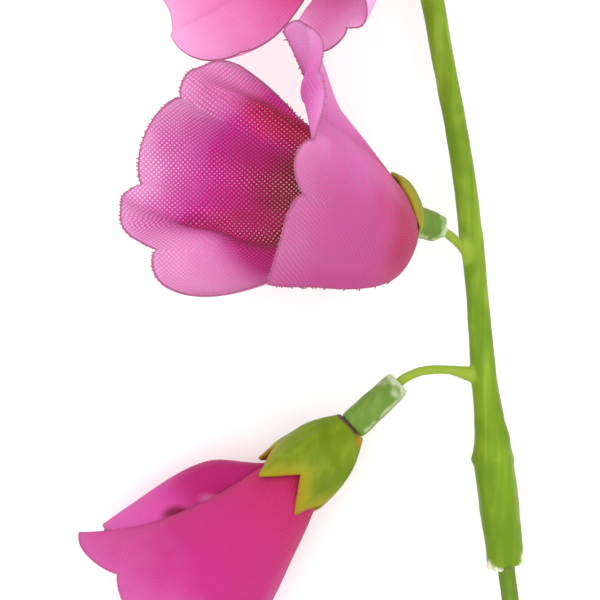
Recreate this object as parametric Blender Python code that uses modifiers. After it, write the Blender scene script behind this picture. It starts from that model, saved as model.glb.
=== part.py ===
"""An artificial bellflower stem: three woven fabric bells on a moulded plastic stem.

The stem lies on a surface along Y with its tip towards +Y. All sizes are in millimetres and
are turned into metres where a mesh is made.
"""

import math

import bmesh
import bpy
from mathutils import Matrix, Vector

MM = 0.001
GAP = 0.3

# The middle of the model's box on the surface, in the frame that the sizes below are in.
BOX_MIDDLE = Vector((2.42, -14.06, 0.0))

FABRIC_THICKNESS = 0.6
CALYX_THICKNESS = 0.7
SHEET_FOOT = (2.4, 1.4)
HOLE_RADIUS = 1.1
LOBES = 4
LOBE_ROUNDNESS = 0.7

TUBE_RADIUS = 2.2
TUBE_LENGTH = 8.9
TUBE_BORE = 1.1
TUBE_START = -0.3

PIN_RADIUS = 0.8
PIN_DEPTH = 4.2
PIN_HEAD_RADIUS = 1.9
PIN_HEAD_HEIGHT = 1.1

STALK_RADIUS = 0.7
STALK_FOOT_RADIUS = 1.35
STALK_IN_TUBE = 3.0

LOWER_STEM_RADIUS = 1.3
WIRE_RADIUS = 0.6
SOCKET_DEPTH = 14.0
PLUG_DEPTH = 13.0

# The main stem from its tip to the mouth of the sleeve: x, y, z, radius.
STEM = [
    (15.6, 76.0, 1.05, 0.5),
    (15.7, 75.0, 1.15, 1.15),
    (15.9, 72.5, 2.1, 1.35),
    (16.4, 67.5, 4.7, 1.45),
    (17.4, 60.5, 8.3, 1.55),
    (18.6, 52.5, 11.4, 1.65),
    (19.8, 45.0, 12.5, 1.68),
    (21.9, 33.5, 13.0, 1.66),
    (24.0, 22.0, 12.9, 1.65),
    (25.9, 7.6, 12.4, 1.75),
    (26.6, 0.3, 12.0, 1.65),
    (27.5, -10.0, 11.2, 1.9),
    (28.3, -16.7, 10.7, 2.15),
    (28.8, -21.5, 10.3, 2.45),
]
SLEEVE = [
    (29.1, -23.8, 10.15, 3.1),
    (29.3, -25.2, 10.0, 3.15),
    (29.9, -30.0, 9.6, 2.95),
    (30.5, -34.5, 9.2, 2.85),
    (31.1, -39.9, 8.7, 2.75),
]
# The thinner stem below the sleeve, from its upper end inside the socket to the cut.
LOWER_STEM = [
    (29.73, -27.5, 9.83),
    (30.2, -32.0, 9.42),
    (31.1, -39.9, 8.7),
    (31.9, -46.0, 8.1),
    (33.7, -60.0, 6.5),
    (35.3, -75.0, 4.7),
    (36.5, -90.0, 2.95),
    (37.3, -104.0, 1.29),
]

# Each flower: its foot, the way its mouth points, and the stalk's points after the stem.
FLOWERS = {
    "upper": {
        "foot": (9.1, 57.0, 21.0),
        "mouth": (-0.72, -0.262, 0.643),
        "stalk": [(18.2, 55.0, 10.9), (17.5, 57.4, 12.8)],
    },
    "middle": {
        "foot": (16.2, 11.8, 21.0),
        "mouth": (-0.718, 0.192, 0.669),
        "stalk": [(25.8, 5.6, 12.4), (24.4, 7.8, 13.4)],
    },
    "lower": {
        "foot": (7.8, -18.9, 12.6),
        "mouth": (-0.734, -0.677, 0.0235),
        "stalk": [(27.2, -11.6, 11.3), (22.5, -10.5, 12.0), (18.6, -10.6, 12.1), (16.0, -11.6, 12.1)],
    },
}

# One petal: "rim" has corner, lobe, notch, lobe, ... corner as (turn, radius, height).
# "root" is the middle and half width of its foot, "waist" its half width above the foot,
# "widen" the share of its length where it widens, "neck" where it leaves the foot straight.
# "flare" and "shoulder" run from the first corner to the last.
PETALS = {
    "upper": [
        {
            "rim": [(0, 14.2, 18.5), (14, 19.3, 20.5), (27, 18.8, 18.0), (37, 18.9, 16.2),
                    (50, 17.0, 18.5), (68, 18.0, 26.0), (90, 15.5, 27.5), (118, 14.5, 31.0),
                    (150, 15.5, 28.5)],
            "root": (98, 26), "waist": 43, "widen": (0.1, 0.32), "neck": (3.2, 2.1, 0.1),
            "flare": [38, 40, 25, 0, -4, 0], "shoulder": [(5.2, 2.8), (6.0, 2.5), (9.0, 2.3), (10.0, 2.3)],
            "grip": 0.4,
        },
        {
            "rim": [(-22, 15.4, 26.5), (-44, 17.8, 30.0), (-60, 15.4, 30.6), (-84, 20.0, 33.5),
                    (-104, 19.0, 31.5), (-120, 21.5, 34.5), (-136, 19.5, 32.0), (-156, 19.5, 31.5),
                    (-176, 14.0, 24.0)],
            "root": (-80, 58), "waist": 72, "widen": (0.1, 0.4), "neck": (3.7, 8.0, 0.2),
            "flare": [15, 28, 34, 30, 20], "shoulder": [(4.6, 13.0)],
            "grip": 0.4,
        },
    ],
    "middle": [
        {
            "rim": [(170, 15.8, 27.5), (167, 22.0, 35.5), (153, 15.0, 33.0), (138, 14.0, 34.0),
                    (125, 14.3, 33.8), (105, 13.0, 36.0), (88, 13.0, 35.0), (60, 13.3, 33.8),
                    (28, 16.6, 30.5)],
            "root": (82, 30), "waist": 43, "widen": (0.1, 0.42), "neck": (3.2, 2.0, 0.1),
            "flare": [24, 12, 0, -6, -5, 0], "shoulder": [(4.6, 2.8), (5.2, 2.5), (7.5, 2.3), (10.5, 2.3)],
            "grip": 0.42,
        },
        {
            "rim": [(205, 15.3, 32.0), (222, 19.2, 33.0), (244, 19.0, 33.8), (266, 23.5, 34.5),
                    (283, 23.3, 32.4), (292, 24.0, 35.4), (313, 21.8, 32.3), (335, 20.6, 31.2),
                    (358, 14.0, 23.5)],
            "root": (260, 58), "waist": 72, "widen": (0.1, 0.4), "neck": (3.7, 8.0, 0.2),
            "flare": [15, 30, 35, 30, 20], "shoulder": [(4.6, 13.0)],
            "grip": 0.42,
        },
    ],
    "lower": [
        {
            "rim": [(178, 16.2, 40.5), (144, 16.5, 42.5), (120, 15.8, 39.5), (100, 16.0, 43.5),
                    (80, 15.8, 40.5), (58, 15.5, 43.0), (35, 15.0, 40.0), (12, 14.5, 42.0),
                    (-15, 13.8, 36.0)],
            "root": (75, 70), "waist": 90, "widen": (0.1, 0.3), "neck": (4.2, 10.5, 0.3),
            "flare": [7, 9, 8, 8], "shoulder": [(6.0, 16.0), (5.2, 16.0), (5.0, 16.0)],
            "grip": 0.4, "tuck": (-50, 0.58, 0.22, 0.34),
        },
        {
            "rim": [(128, 9.0, 29.0), (160, 13.4, 38.0), (192, 14.2, 36.5), (220, 14.0, 40.5),
                    (248, 13.5, 38.0), (272, 13.3, 41.5), (298, 13.3, 38.5), (322, 13.4, 40.5),
                    (342, 13.2, 36.0)],
            "root": (255, 70), "waist": 108, "widen": (0.2, 0.5), "neck": (3.2, 10.5, 0.3),
            "flare": [24, 8, 8, 8, 8],
            "shoulder": [(3.6, 17.0), (4.8, 16.0), (5.0, 16.0), (5.0, 16.0), (5.0, 16.0)],
            "grip": 0.42, "swell": (2.0, 0.5, 0.13, 0.19, 0.07),
        },
    ],
}

# The five points of each calyx and the notches between them: turn, radius, height.
CLOSED_CALYX = [
    (18, 5.3, 10.5), (54, 6.6, 15.2), (92, 5.3, 10.5), (130, 7.0, 15.2), (166, 5.3, 10.5),
    (202, 6.3, 13.6), (237, 5.3, 10.5), (272, 6.6, 15.2), (307, 5.3, 10.5), (342, 6.6, 15.2),
]
OPEN_CALYX = [
    (10, 3.3, 0.45), (146, 3.3, 0.45), (162, 4.5, 2.0), (190, 7.0, 12.2), (224, 5.3, 8.0),
    (260, 7.2, 12.4), (296, 5.4, 8.5), (330, 7.0, 12.0), (350, 4.8, 2.8), (4, 3.7, 0.8),
]
CALYXES = {
    "upper": [(180 - turn, radius, height) for turn, radius, height in OPEN_CALYX],
    "middle": OPEN_CALYX,
    "lower": CLOSED_CALYX,
}

PETAL_COLUMNS = 24
PETAL_ROWS = 10
BRIDGE_COLUMNS = 3
CALYX_COLUMNS = 40
CALYX_ROWS = 6
CALYX_FLOOR = (2.4, 0.35)
CALYX_FLOOR_SHARE = 1 / 6
CALYX_LOW_EDGE = 3.0
TURNED_STEPS = 16
CUTTER_OVERSHOOT = 3.0

COLOURS = {
    "stem": ((0.26, 0.37, 0.045, 1), 0.42),
    "lower_stem": ((0.18, 0.28, 0.035, 1), 0.42),
    "tube": ((0.17, 0.30, 0.05, 1), 0.45),
    "calyx": ((0.24, 0.32, 0.02, 1), 0.5),
    "bell": ((0.62, 0.07, 0.30, 1), 0.8),
    "pin": ((0.30, 0.33, 0.10, 1), 0.5),
    "wire": ((0.35, 0.35, 0.36, 1), 0.35),
}


def blend(first, second, share):
    return first + (second - first) * share


def smooth_step(start, end, value):
    share = min(1.0, max(0.0, (value - start) / (end - start)))
    return share * share * (3 - 2 * share)


def along(values, share):
    """A soft mean of the values near one place in a list, with share from 0 to 1."""
    if len(values) == 1:
        return Vector(values[0]) if isinstance(values[0], tuple) else values[0]
    place = share * (len(values) - 1)
    weights = [math.exp(-((place - index) / 0.7) ** 2) for index in range(len(values))]
    total = sum(weights)
    if isinstance(values[0], tuple):
        return sum((Vector(v) * w for v, w in zip(values, weights)), Vector((0, 0))) / total
    return sum(v * w for v, w in zip(values, weights)) / total


def rim_point(rim, across):
    """The petal's edge at across, from 0 to 1: round lobes with sharp notches between."""
    lobe = min(LOBES - 1, int(across * LOBES))
    share = across * LOBES - lobe
    start, top, end = (Vector(station) for station in rim[2 * lobe:2 * lobe + 3])
    swell = max(0.0, math.sin(math.pi * share)) ** LOBE_ROUNDNESS
    return start.lerp(end, share) + (top - (start + end) / 2) * swell


def petal_turn(petal, across, up):
    """The angle round the bell's axis, in degrees."""
    rim = petal["rim"]
    middle = (rim[0][0] + rim[-1][0]) / 2
    half = (rim[-1][0] - rim[0][0]) / 2
    root_middle, root_half = petal["root"]
    waist = petal["waist"]
    width = blend(root_half, waist, smooth_step(*petal["widen"], up)) + (abs(half) - waist) * up
    centre = blend(middle, root_middle, (1 - up) ** 3)
    side = blend(2 * across - 1, (rim_point(rim, across)[0] - middle) / half, up)
    turn = centre + side * math.copysign(width, half)
    if "tuck" in petal:
        amount, height, tall, wide = petal["tuck"]
        turn += amount * math.exp(-(across / wide) ** 2 - ((up - height) / tall) ** 2)
    return turn


def petal_profile(petal, across, up):
    """Radius and height on the petal, from its foot at up 0 to its edge at up 1."""
    neck = Vector(petal["neck"][:2])
    neck_share = petal["neck"][2]
    if up < neck_share:
        return Vector(SHEET_FOOT).lerp(neck, up / neck_share)
    edge = rim_point(petal["rim"], across)
    edge = Vector((edge[1], edge[2]))
    flare = math.radians(along(petal["flare"], across))
    shoulder = along(petal["shoulder"], across)
    reach = petal["grip"] * (edge - neck).length
    below_edge = edge - reach * Vector((math.sin(flare), math.cos(flare)))
    t = (up - neck_share) / (1 - neck_share)
    profile = ((1 - t) ** 3 * neck + 3 * (1 - t) ** 2 * t * shoulder
               + 3 * (1 - t) * t * t * below_edge + t ** 3 * edge)
    if "swell" in petal:
        amount, height, tall, side, wide = petal["swell"]
        profile[0] += amount * math.exp(-((across - side) / wide) ** 2 - ((up - height) / tall) ** 2)
    return profile


def round_axis(turn, radius, height):
    angle = math.radians(turn)
    return Vector((radius * math.cos(angle), radius * math.sin(angle), height)) * MM


def add_petal(sheet, petal):
    grid = bmesh.ops.create_grid(sheet, x_segments=PETAL_COLUMNS, y_segments=PETAL_ROWS, size=0.5)
    for vert in grid["verts"]:
        across = min(1.0, max(0.0, vert.co.x + 0.5))
        up = min(1.0, max(0.0, vert.co.y + 0.5))
        radius, height = petal_profile(petal, across, up)
        vert.co = round_axis(petal_turn(petal, across, up), radius, height)


def foot_turns(petals):
    """The turns round the sheet's foot: both petals' columns and the bridges between them."""
    feet = []
    for petal in petals:
        turns = [petal_turn(petal, column / PETAL_COLUMNS, 0.0) for column in range(PETAL_COLUMNS + 1)]
        feet.append(turns if turns[-1] > turns[0] else turns[::-1])
    feet.sort(key=lambda turns: turns[0])
    first, second = feet
    turns = first[:]
    for start, end in ((first[-1], second[0]), (second[-1], first[0] + 360)):
        turns += [blend(start, end, step / BRIDGE_COLUMNS) for step in range(1, BRIDGE_COLUMNS)]
        turns += second if end == second[0] else []
    return turns + [first[0] + 360]


def add_foot(sheet, petals):
    turns = foot_turns(petals)
    columns = len(turns) - 1
    grid = bmesh.ops.create_grid(sheet, x_segments=columns, y_segments=1, size=0.5)
    for vert in grid["verts"]:
        column = round((vert.co.x + 0.5) * columns)
        radius = blend(HOLE_RADIUS, SHEET_FOOT[0], vert.co.y + 0.5)
        vert.co = round_axis(turns[column] % 360, radius, SHEET_FOOT[1])


def close_sheet(sheet, name):
    """Join the sheet's parts, face them one way and split them alike for both faces."""
    bmesh.ops.remove_doubles(sheet, verts=sheet.verts, dist=0.00001)
    bmesh.ops.recalc_face_normals(sheet, faces=sheet.faces)
    bmesh.ops.triangulate(sheet, faces=sheet.faces, quad_method="FIXED")
    mesh = bpy.data.meshes.new(name)
    sheet.to_mesh(mesh)
    sheet.free()
    return mesh


def thicken(obj, thickness):
    solidify = obj.modifiers.new("thickness", "SOLIDIFY")
    solidify.thickness = thickness * MM
    solidify.offset = 0.0
    solidify.use_even_offset = False


def make_bell(name, petals):
    sheet = bmesh.new()
    for petal in petals:
        add_petal(sheet, petal)
    add_foot(sheet, petals)
    bell = add_object(name, close_sheet(sheet, name), "bell")
    thicken(bell, FABRIC_THICKNESS)
    return bell


def calyx_edge(stations, turn):
    """Radius and height of the calyx's edge: straight from point to notch."""
    ordered = sorted((station[0] % 360, station[1], station[2]) for station in stations)
    ordered = [(ordered[-1][0] - 360, *ordered[-1][1:])] + ordered + [(ordered[0][0] + 360, *ordered[0][1:])]
    for start, end in zip(ordered, ordered[1:]):
        if start[0] <= turn <= end[0]:
            share = (turn - start[0]) / (end[0] - start[0])
            return Vector(start[1:]).lerp(Vector(end[1:]), share)


def calyx_turns(stations):
    """Columns for the calyx, with one on every point and notch."""
    ordered = sorted(station[0] % 360 for station in stations)
    turns = []
    for start, end in zip(ordered, ordered[1:] + [ordered[0] + 360]):
        steps = max(1, round(CALYX_COLUMNS * (end - start) / 360))
        turns += [blend(start, end, step / steps) for step in range(steps)]
    return turns + [ordered[0] + 360]


def calyx_profile(edge, up):
    """From the hole across the floor and up the wall to the edge."""
    hole = Vector((HOLE_RADIUS, CALYX_FLOOR[1]))
    floor = Vector(CALYX_FLOOR)
    size = smooth_step(0.0, CALYX_LOW_EDGE, edge[1] - floor[1])
    if up < CALYX_FLOOR_SHARE:
        return hole.lerp(floor, up / CALYX_FLOOR_SHARE)
    t = (up - CALYX_FLOOR_SHARE) / (1 - CALYX_FLOOR_SHARE)
    belly = floor + Vector((min(2.5, 0.8 * (edge[0] - floor[0])), 0.1)) * size
    rise = edge - floor
    below_edge = edge - Vector((0.1 * rise[0], 0.5 * rise[1]))
    return ((1 - t) ** 3 * floor + 3 * (1 - t) ** 2 * t * belly
            + 3 * (1 - t) * t * t * below_edge + t ** 3 * edge)


def make_calyx(name, stations):
    turns = calyx_turns(stations)
    columns = len(turns) - 1
    cup = bmesh.new()
    grid = bmesh.ops.create_grid(cup, x_segments=columns, y_segments=CALYX_ROWS, size=0.5)
    for vert in grid["verts"]:
        turn = turns[round((vert.co.x + 0.5) * columns)]
        edge = calyx_edge(stations, turn % 360)
        radius, height = calyx_profile(edge, vert.co.y + 0.5)
        vert.co = round_axis(turn % 360, radius, height)
    calyx = add_object(name, close_sheet(cup, name), "calyx")
    thicken(calyx, CALYX_THICKNESS)
    return calyx


def turned(name, profile, material, closed):
    """A turned piece from (radius, height) points that run down the outer side."""
    outline = bmesh.new()
    verts = [outline.verts.new(Vector((radius, 0, height)) * MM) for radius, height in profile]
    edges = list(zip(verts, verts[1:] + verts[:1])) if closed else list(zip(verts, verts[1:]))
    for start, end in edges:
        outline.edges.new((start, end))
    mesh = bpy.data.meshes.new(name)
    outline.to_mesh(mesh)
    outline.free()
    piece = add_object(name, mesh, material)
    screw = piece.modifiers.new("turn", "SCREW")
    screw.steps = screw.render_steps = TURNED_STEPS
    screw.use_merge_vertices = True
    screw.merge_threshold = 0.00001
    return piece


def make_tube(name):
    top = TUBE_START
    end = top - TUBE_LENGTH
    profile = [
        (TUBE_BORE, top), (TUBE_RADIUS - 0.15, top), (TUBE_RADIUS, top - 0.4),
        (TUBE_RADIUS + 0.05, top - TUBE_LENGTH * 0.5), (TUBE_RADIUS - 0.1, end + 1.6),
        (TUBE_RADIUS - 0.5, end + 0.5), (TUBE_BORE + 0.35, end), (TUBE_BORE, end),
    ]
    return turned(name, profile, "tube", closed=True)


def make_pin(name):
    under = SHEET_FOOT[1] + FABRIC_THICKNESS / 2 + GAP
    top = under + PIN_HEAD_HEIGHT
    profile = [
        (0.0, top), (PIN_HEAD_RADIUS * 0.55, top - 0.15), (PIN_HEAD_RADIUS * 0.9, top - 0.5),
        (PIN_HEAD_RADIUS, under + 0.25), (PIN_HEAD_RADIUS - 0.15, under), (PIN_RADIUS, under),
        (PIN_RADIUS, -PIN_DEPTH + 0.4), (PIN_RADIUS - 0.3, -PIN_DEPTH), (0.0, -PIN_DEPTH),
    ]
    return turned(name, profile, "pin", closed=False)


def smooth_path(points, pieces):
    """Points on a smooth curve through the given ones, which may carry a radius too."""
    ends = [points[0]] + list(points) + [points[-1]]
    path = []
    for before, start, end, after in zip(ends, ends[1:], ends[2:], ends[3:]):
        for step in range(pieces):
            t = step / pieces
            path.append(tuple(
                0.5 * (2 * s + (e - b) * t + (2 * b - 5 * s + 4 * e - a) * t * t
                       + (3 * s - b - 3 * e + a) * t ** 3)
                for b, s, e, a in zip(before, start, end, after)))
    return path + [tuple(points[-1])]


def swept(name, points, material, sides=4, radius=1.0):
    """A round bar along a path whose points are x, y, z and, if given, a radius."""
    curve = bpy.data.curves.new(name, "CURVE")
    curve.dimensions = "3D"
    curve.bevel_depth = radius * MM
    curve.bevel_resolution = sides
    curve.use_fill_caps = True
    spline = curve.splines.new("POLY")
    spline.points.add(len(points) - 1)
    for target, point in zip(spline.points, points):
        target.co = (*(Vector(point[:3]) * MM), 1)
        target.radius = point[3] if len(point) > 3 else 1.0
    return as_mesh(add_object(name, curve, material))


def as_mesh(obj):
    """Replace a curve or a piece with modifiers by the mesh that it shows."""
    graph = bpy.context.evaluated_depsgraph_get()
    mesh = bpy.data.meshes.new_from_object(obj.evaluated_get(graph), depsgraph=graph)
    name, place, old = obj.name, obj.matrix_world.copy(), obj
    welded = bmesh.new()
    welded.from_mesh(mesh)
    bmesh.ops.remove_doubles(welded, verts=welded.verts, dist=0.000001)
    bmesh.ops.recalc_face_normals(welded, faces=welded.faces)
    welded.to_mesh(mesh)
    welded.free()
    collections = list(old.users_collection)
    bpy.data.objects.remove(old)
    solid = bpy.data.objects.new(name, mesh)
    solid.matrix_world = place
    for collection in collections:
        collection.objects.link(solid)
    return solid


def combine(target, others, operation):
    """Apply a Boolean with each of the others, which are removed."""
    for other in others:
        boolean = target.modifiers.new("combine", "BOOLEAN")
        boolean.operation = operation
        boolean.solver = "EXACT"
        boolean.object = other
        bpy.context.view_layer.update()
        target = as_mesh(target)
        bpy.data.objects.remove(other)
    return target


def stalk_path(flower):
    """From inside the stem, over the stalk's own points, into the tube's bore."""
    foot, mouth = Vector(flower["foot"]), Vector(flower["mouth"]).normalized()
    tube_end = foot + mouth * (TUBE_START - TUBE_LENGTH)
    inside = tube_end + mouth * STALK_IN_TUBE
    points = [Vector(point) for point in flower["stalk"]]
    path = points + [tube_end, inside]
    radii = [STALK_FOOT_RADIUS] + [STALK_RADIUS] * (len(path) - 1)
    return smooth_path([(*point, radius) for point, radius in zip(path, radii)], 4)


def make_spray_stem():
    stem = swept("spray_stem", smooth_path(STEM, 3) + smooth_path(SLEEVE, 2), "stem")
    stalks = [swept("stalk_" + name, stalk_path(flower), "stem", sides=3)
              for name, flower in FLOWERS.items()]
    stem = combine(stem, stalks, "UNION")
    mouth = Vector(SLEEVE[-1][:3])
    inward = (Vector(LOWER_STEM[0]) - mouth).normalized()
    socket = [mouth - inward * CUTTER_OVERSHOOT, mouth, mouth + inward * SOCKET_DEPTH]
    cutter = swept("socket", socket, "stem", radius=LOWER_STEM_RADIUS + GAP)
    return combine(stem, [cutter], "DIFFERENCE")


def make_lower_stem():
    mouth = Vector(SLEEVE[-1][:3])
    inward = (Vector(LOWER_STEM[0]) - mouth).normalized()
    path = smooth_path([tuple(mouth + inward * PLUG_DEPTH)] + LOWER_STEM[2:], 2)
    stem = swept("lower_stem", path, "lower_stem", radius=LOWER_STEM_RADIUS)
    first, last = Vector(path[0]), Vector(path[-1])
    before = first + (first - Vector(path[1])).normalized() * CUTTER_OVERSHOOT
    after = last + (last - Vector(path[-2])).normalized() * CUTTER_OVERSHOOT
    bore = [tuple(before)] + path + [tuple(after)]
    cutter = swept("bore", bore, "lower_stem", sides=2, radius=WIRE_RADIUS + GAP)
    stem = combine(stem, [cutter], "DIFFERENCE")
    wire = swept("wire_core", path, "wire", sides=2, radius=WIRE_RADIUS)
    return [stem, wire]


def make_material(kind):
    colour, roughness = COLOURS[kind]
    material = bpy.data.materials.new(kind)
    material.use_nodes = True
    shader = material.node_tree.nodes["Principled BSDF"]
    shader.inputs["Base Color"].default_value = colour
    shader.inputs["Roughness"].default_value = roughness
    shader.inputs["Metallic"].default_value = 1.0 if kind == "wire" else 0.0
    return material


def add_object(name, data, kind):
    """Link a new object, with a material of its own, to the part's collection."""
    obj = bpy.data.objects.new(name, data)
    data.materials.append(make_material(kind))
    bpy.data.collections["bellflower_stem"].objects.link(obj)
    return obj


def flower_frame(flower):
    """Z along the bell's axis, Y towards the viewer above, and the foot as the origin."""
    z_axis = Vector(flower["mouth"]).normalized()
    y_axis = (Vector((0, 0, 1)) - z_axis * z_axis.z).normalized()
    x_axis = y_axis.cross(z_axis)
    frame = Matrix((x_axis, y_axis, z_axis)).transposed().to_4x4()
    frame.translation = Vector(flower["foot"]) * MM
    return frame


def make_flower(name, flower):
    holder = bpy.data.objects.new("flower_" + name, None)
    bpy.data.collections["bellflower_stem"].objects.link(holder)
    holder.matrix_world = flower_frame(flower)
    pieces = [
        make_tube("tube_" + name),
        make_calyx("calyx_" + name, CALYXES[name]),
        make_bell("bell_" + name, PETALS[name]),
        make_pin("pin_" + name),
    ]
    for piece in pieces:
        piece.parent = holder
        piece.data.shade_smooth()
    return holder


def main():
    for obj in list(bpy.data.objects):
        bpy.data.objects.remove(obj)
    collection = bpy.data.collections.new("bellflower_stem")
    bpy.context.scene.collection.children.link(collection)
    roots = [make_spray_stem()] + make_lower_stem()
    for solid in roots:
        solid.data.shade_smooth()
    roots += [make_flower(name, flower) for name, flower in FLOWERS.items()]
    for root in roots:
        root.location -= BOX_MIDDLE * MM


main()
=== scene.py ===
"""The looks of an artificial bellflower stem: woven bells on a moulded plastic stem.

Sizes are in millimetres, in the frame that the CAD source uses, and places are moved by
BOX_MIDDLE and turned into metres where a mesh is made.
"""

import math
import random
import bmesh
import bpy
from mathutils import Matrix, Vector, kdtree, noise


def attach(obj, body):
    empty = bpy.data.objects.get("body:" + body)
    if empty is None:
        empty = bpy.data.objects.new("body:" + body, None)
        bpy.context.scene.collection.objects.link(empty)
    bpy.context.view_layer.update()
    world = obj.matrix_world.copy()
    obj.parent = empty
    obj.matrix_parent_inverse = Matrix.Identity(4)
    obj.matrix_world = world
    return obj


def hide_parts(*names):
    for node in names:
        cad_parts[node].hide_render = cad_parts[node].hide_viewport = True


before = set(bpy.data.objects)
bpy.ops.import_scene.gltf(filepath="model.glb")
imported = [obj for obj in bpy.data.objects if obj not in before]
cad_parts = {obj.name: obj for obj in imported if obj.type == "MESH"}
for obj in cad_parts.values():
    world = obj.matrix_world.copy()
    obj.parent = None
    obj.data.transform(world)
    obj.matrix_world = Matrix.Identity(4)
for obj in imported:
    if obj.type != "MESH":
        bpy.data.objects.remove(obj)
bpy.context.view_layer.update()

MM = 0.001
BOX_MIDDLE = Vector((2.42, -14.06, 0.0))

# The camera looks straight down. The photograph's 600 pixels are 90 mm at STEM_LEVEL.
VIEW_WIDTH = 90.0
STEM_LEVEL = 12.0
CAMERA_ABOVE_STEM = 430.0

FABRIC_THICKNESS = 0.26
CALYX_THICKNESS = 0.6
# Where the petals leave the ring of cloth round the pin's hole: radius and height.
SHEET_FOOT = (2.4, 1.4)
HOLE_RADIUS = 1.1
LOBES = 4
# The power of the sine that rounds a lobe. A smaller one makes it fuller.
LOBE_ROUNDNESS = 0.7
THREAD_PITCH = 0.51
# How strongly threads wander from their straight course.
THREAD_WANDER = 1.1

# The tube lies behind the bell's foot, along its axis from TUBE_START downwards.
TUBE_RADIUS = 2.2
TUBE_LENGTHS = {"upper": 8.9, "middle": 6.5, "lower": 9.7}
TUBE_BORE = 1.1
TUBE_START = 0.05

STALK_RADIUS = 0.7
STALK_FOOT_RADIUS = 1.35
STALK_IN_TUBE = 3.0

LOWER_STEM_RADIUS = 1.3
WIRE_RADIUS = 0.6
SOCKET_RADIUS = 1.45
SOCKET_DEPTH = 14.0
PLUG_DEPTH = 13.0

# The main stem from its tip, and the sleeve down to its mouth: x, y, z, radius.
STEM = [
    (15.6, 76.0, 1.05, 0.5),
    (15.7, 75.0, 1.15, 1.15),
    (15.9, 72.5, 2.1, 1.35),
    (16.4, 67.5, 4.7, 1.45),
    (17.4, 60.5, 8.3, 1.55),
    (18.6, 52.5, 11.4, 1.65),
    (19.8, 45.0, 12.5, 1.68),
    (21.9, 33.5, 13.0, 1.66),
    (24.0, 22.0, 12.9, 1.65),
    (25.9, 7.6, 12.4, 1.75),
    (26.6, 0.3, 12.0, 1.65),
    (27.5, -10.0, 11.2, 1.9),
    (28.3, -16.9, 10.7, 2.15),
    (28.9, -20.7, 10.35, 2.65),
    (29.0, -22.6, 10.2, 2.9),
]
SLEEVE = [
    (29.05, -23.9, 10.15, 3.2),
    (29.15, -24.6, 10.1, 3.0),
    (29.3, -25.6, 10.0, 3.0),
    (29.9, -30.0, 9.6, 2.95),
    (30.5, -34.5, 9.2, 2.85),
    (31.1, -39.9, 8.7, 2.75),
]
# The thinner stem: a place in the socket that it heads for, the sleeve's mouth, and so on
# down to the cut.
LOWER_STEM = [
    (29.73, -27.5, 9.83),
    (31.1, -39.9, 8.7),
    (31.9, -46.0, 8.1),
    (33.7, -60.0, 6.5),
    (35.3, -75.0, 4.7),
    (36.5, -90.0, 2.95),
    (37.3, -104.0, 1.29),
]

# Each flower: its foot, the way its mouth points, and the stalk's points after the stem.
FLOWERS = {
    "upper": {
        "foot": (9.1, 57.0, 21.0),
        "mouth": (-0.72, -0.262, 0.643),
        "stalk": [(18.2, 55.0, 10.9), (17.5, 57.4, 12.8)],
    },
    "middle": {
        "foot": (16.2, 11.8, 21.0),
        "mouth": (-0.718, 0.192, 0.669),
        "stalk": [(25.8, 5.6, 12.4), (24.4, 7.8, 13.4)],
    },
    "lower": {
        "foot": (7.8, -18.9, 12.6),
        "mouth": (-0.734, -0.677, 0.0235),
        "stalk": [(27.2, -11.6, 11.3), (22.5, -10.5, 12.0), (18.6, -10.6, 12.1), (16.0, -11.6, 12.1)],
    },
}

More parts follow.
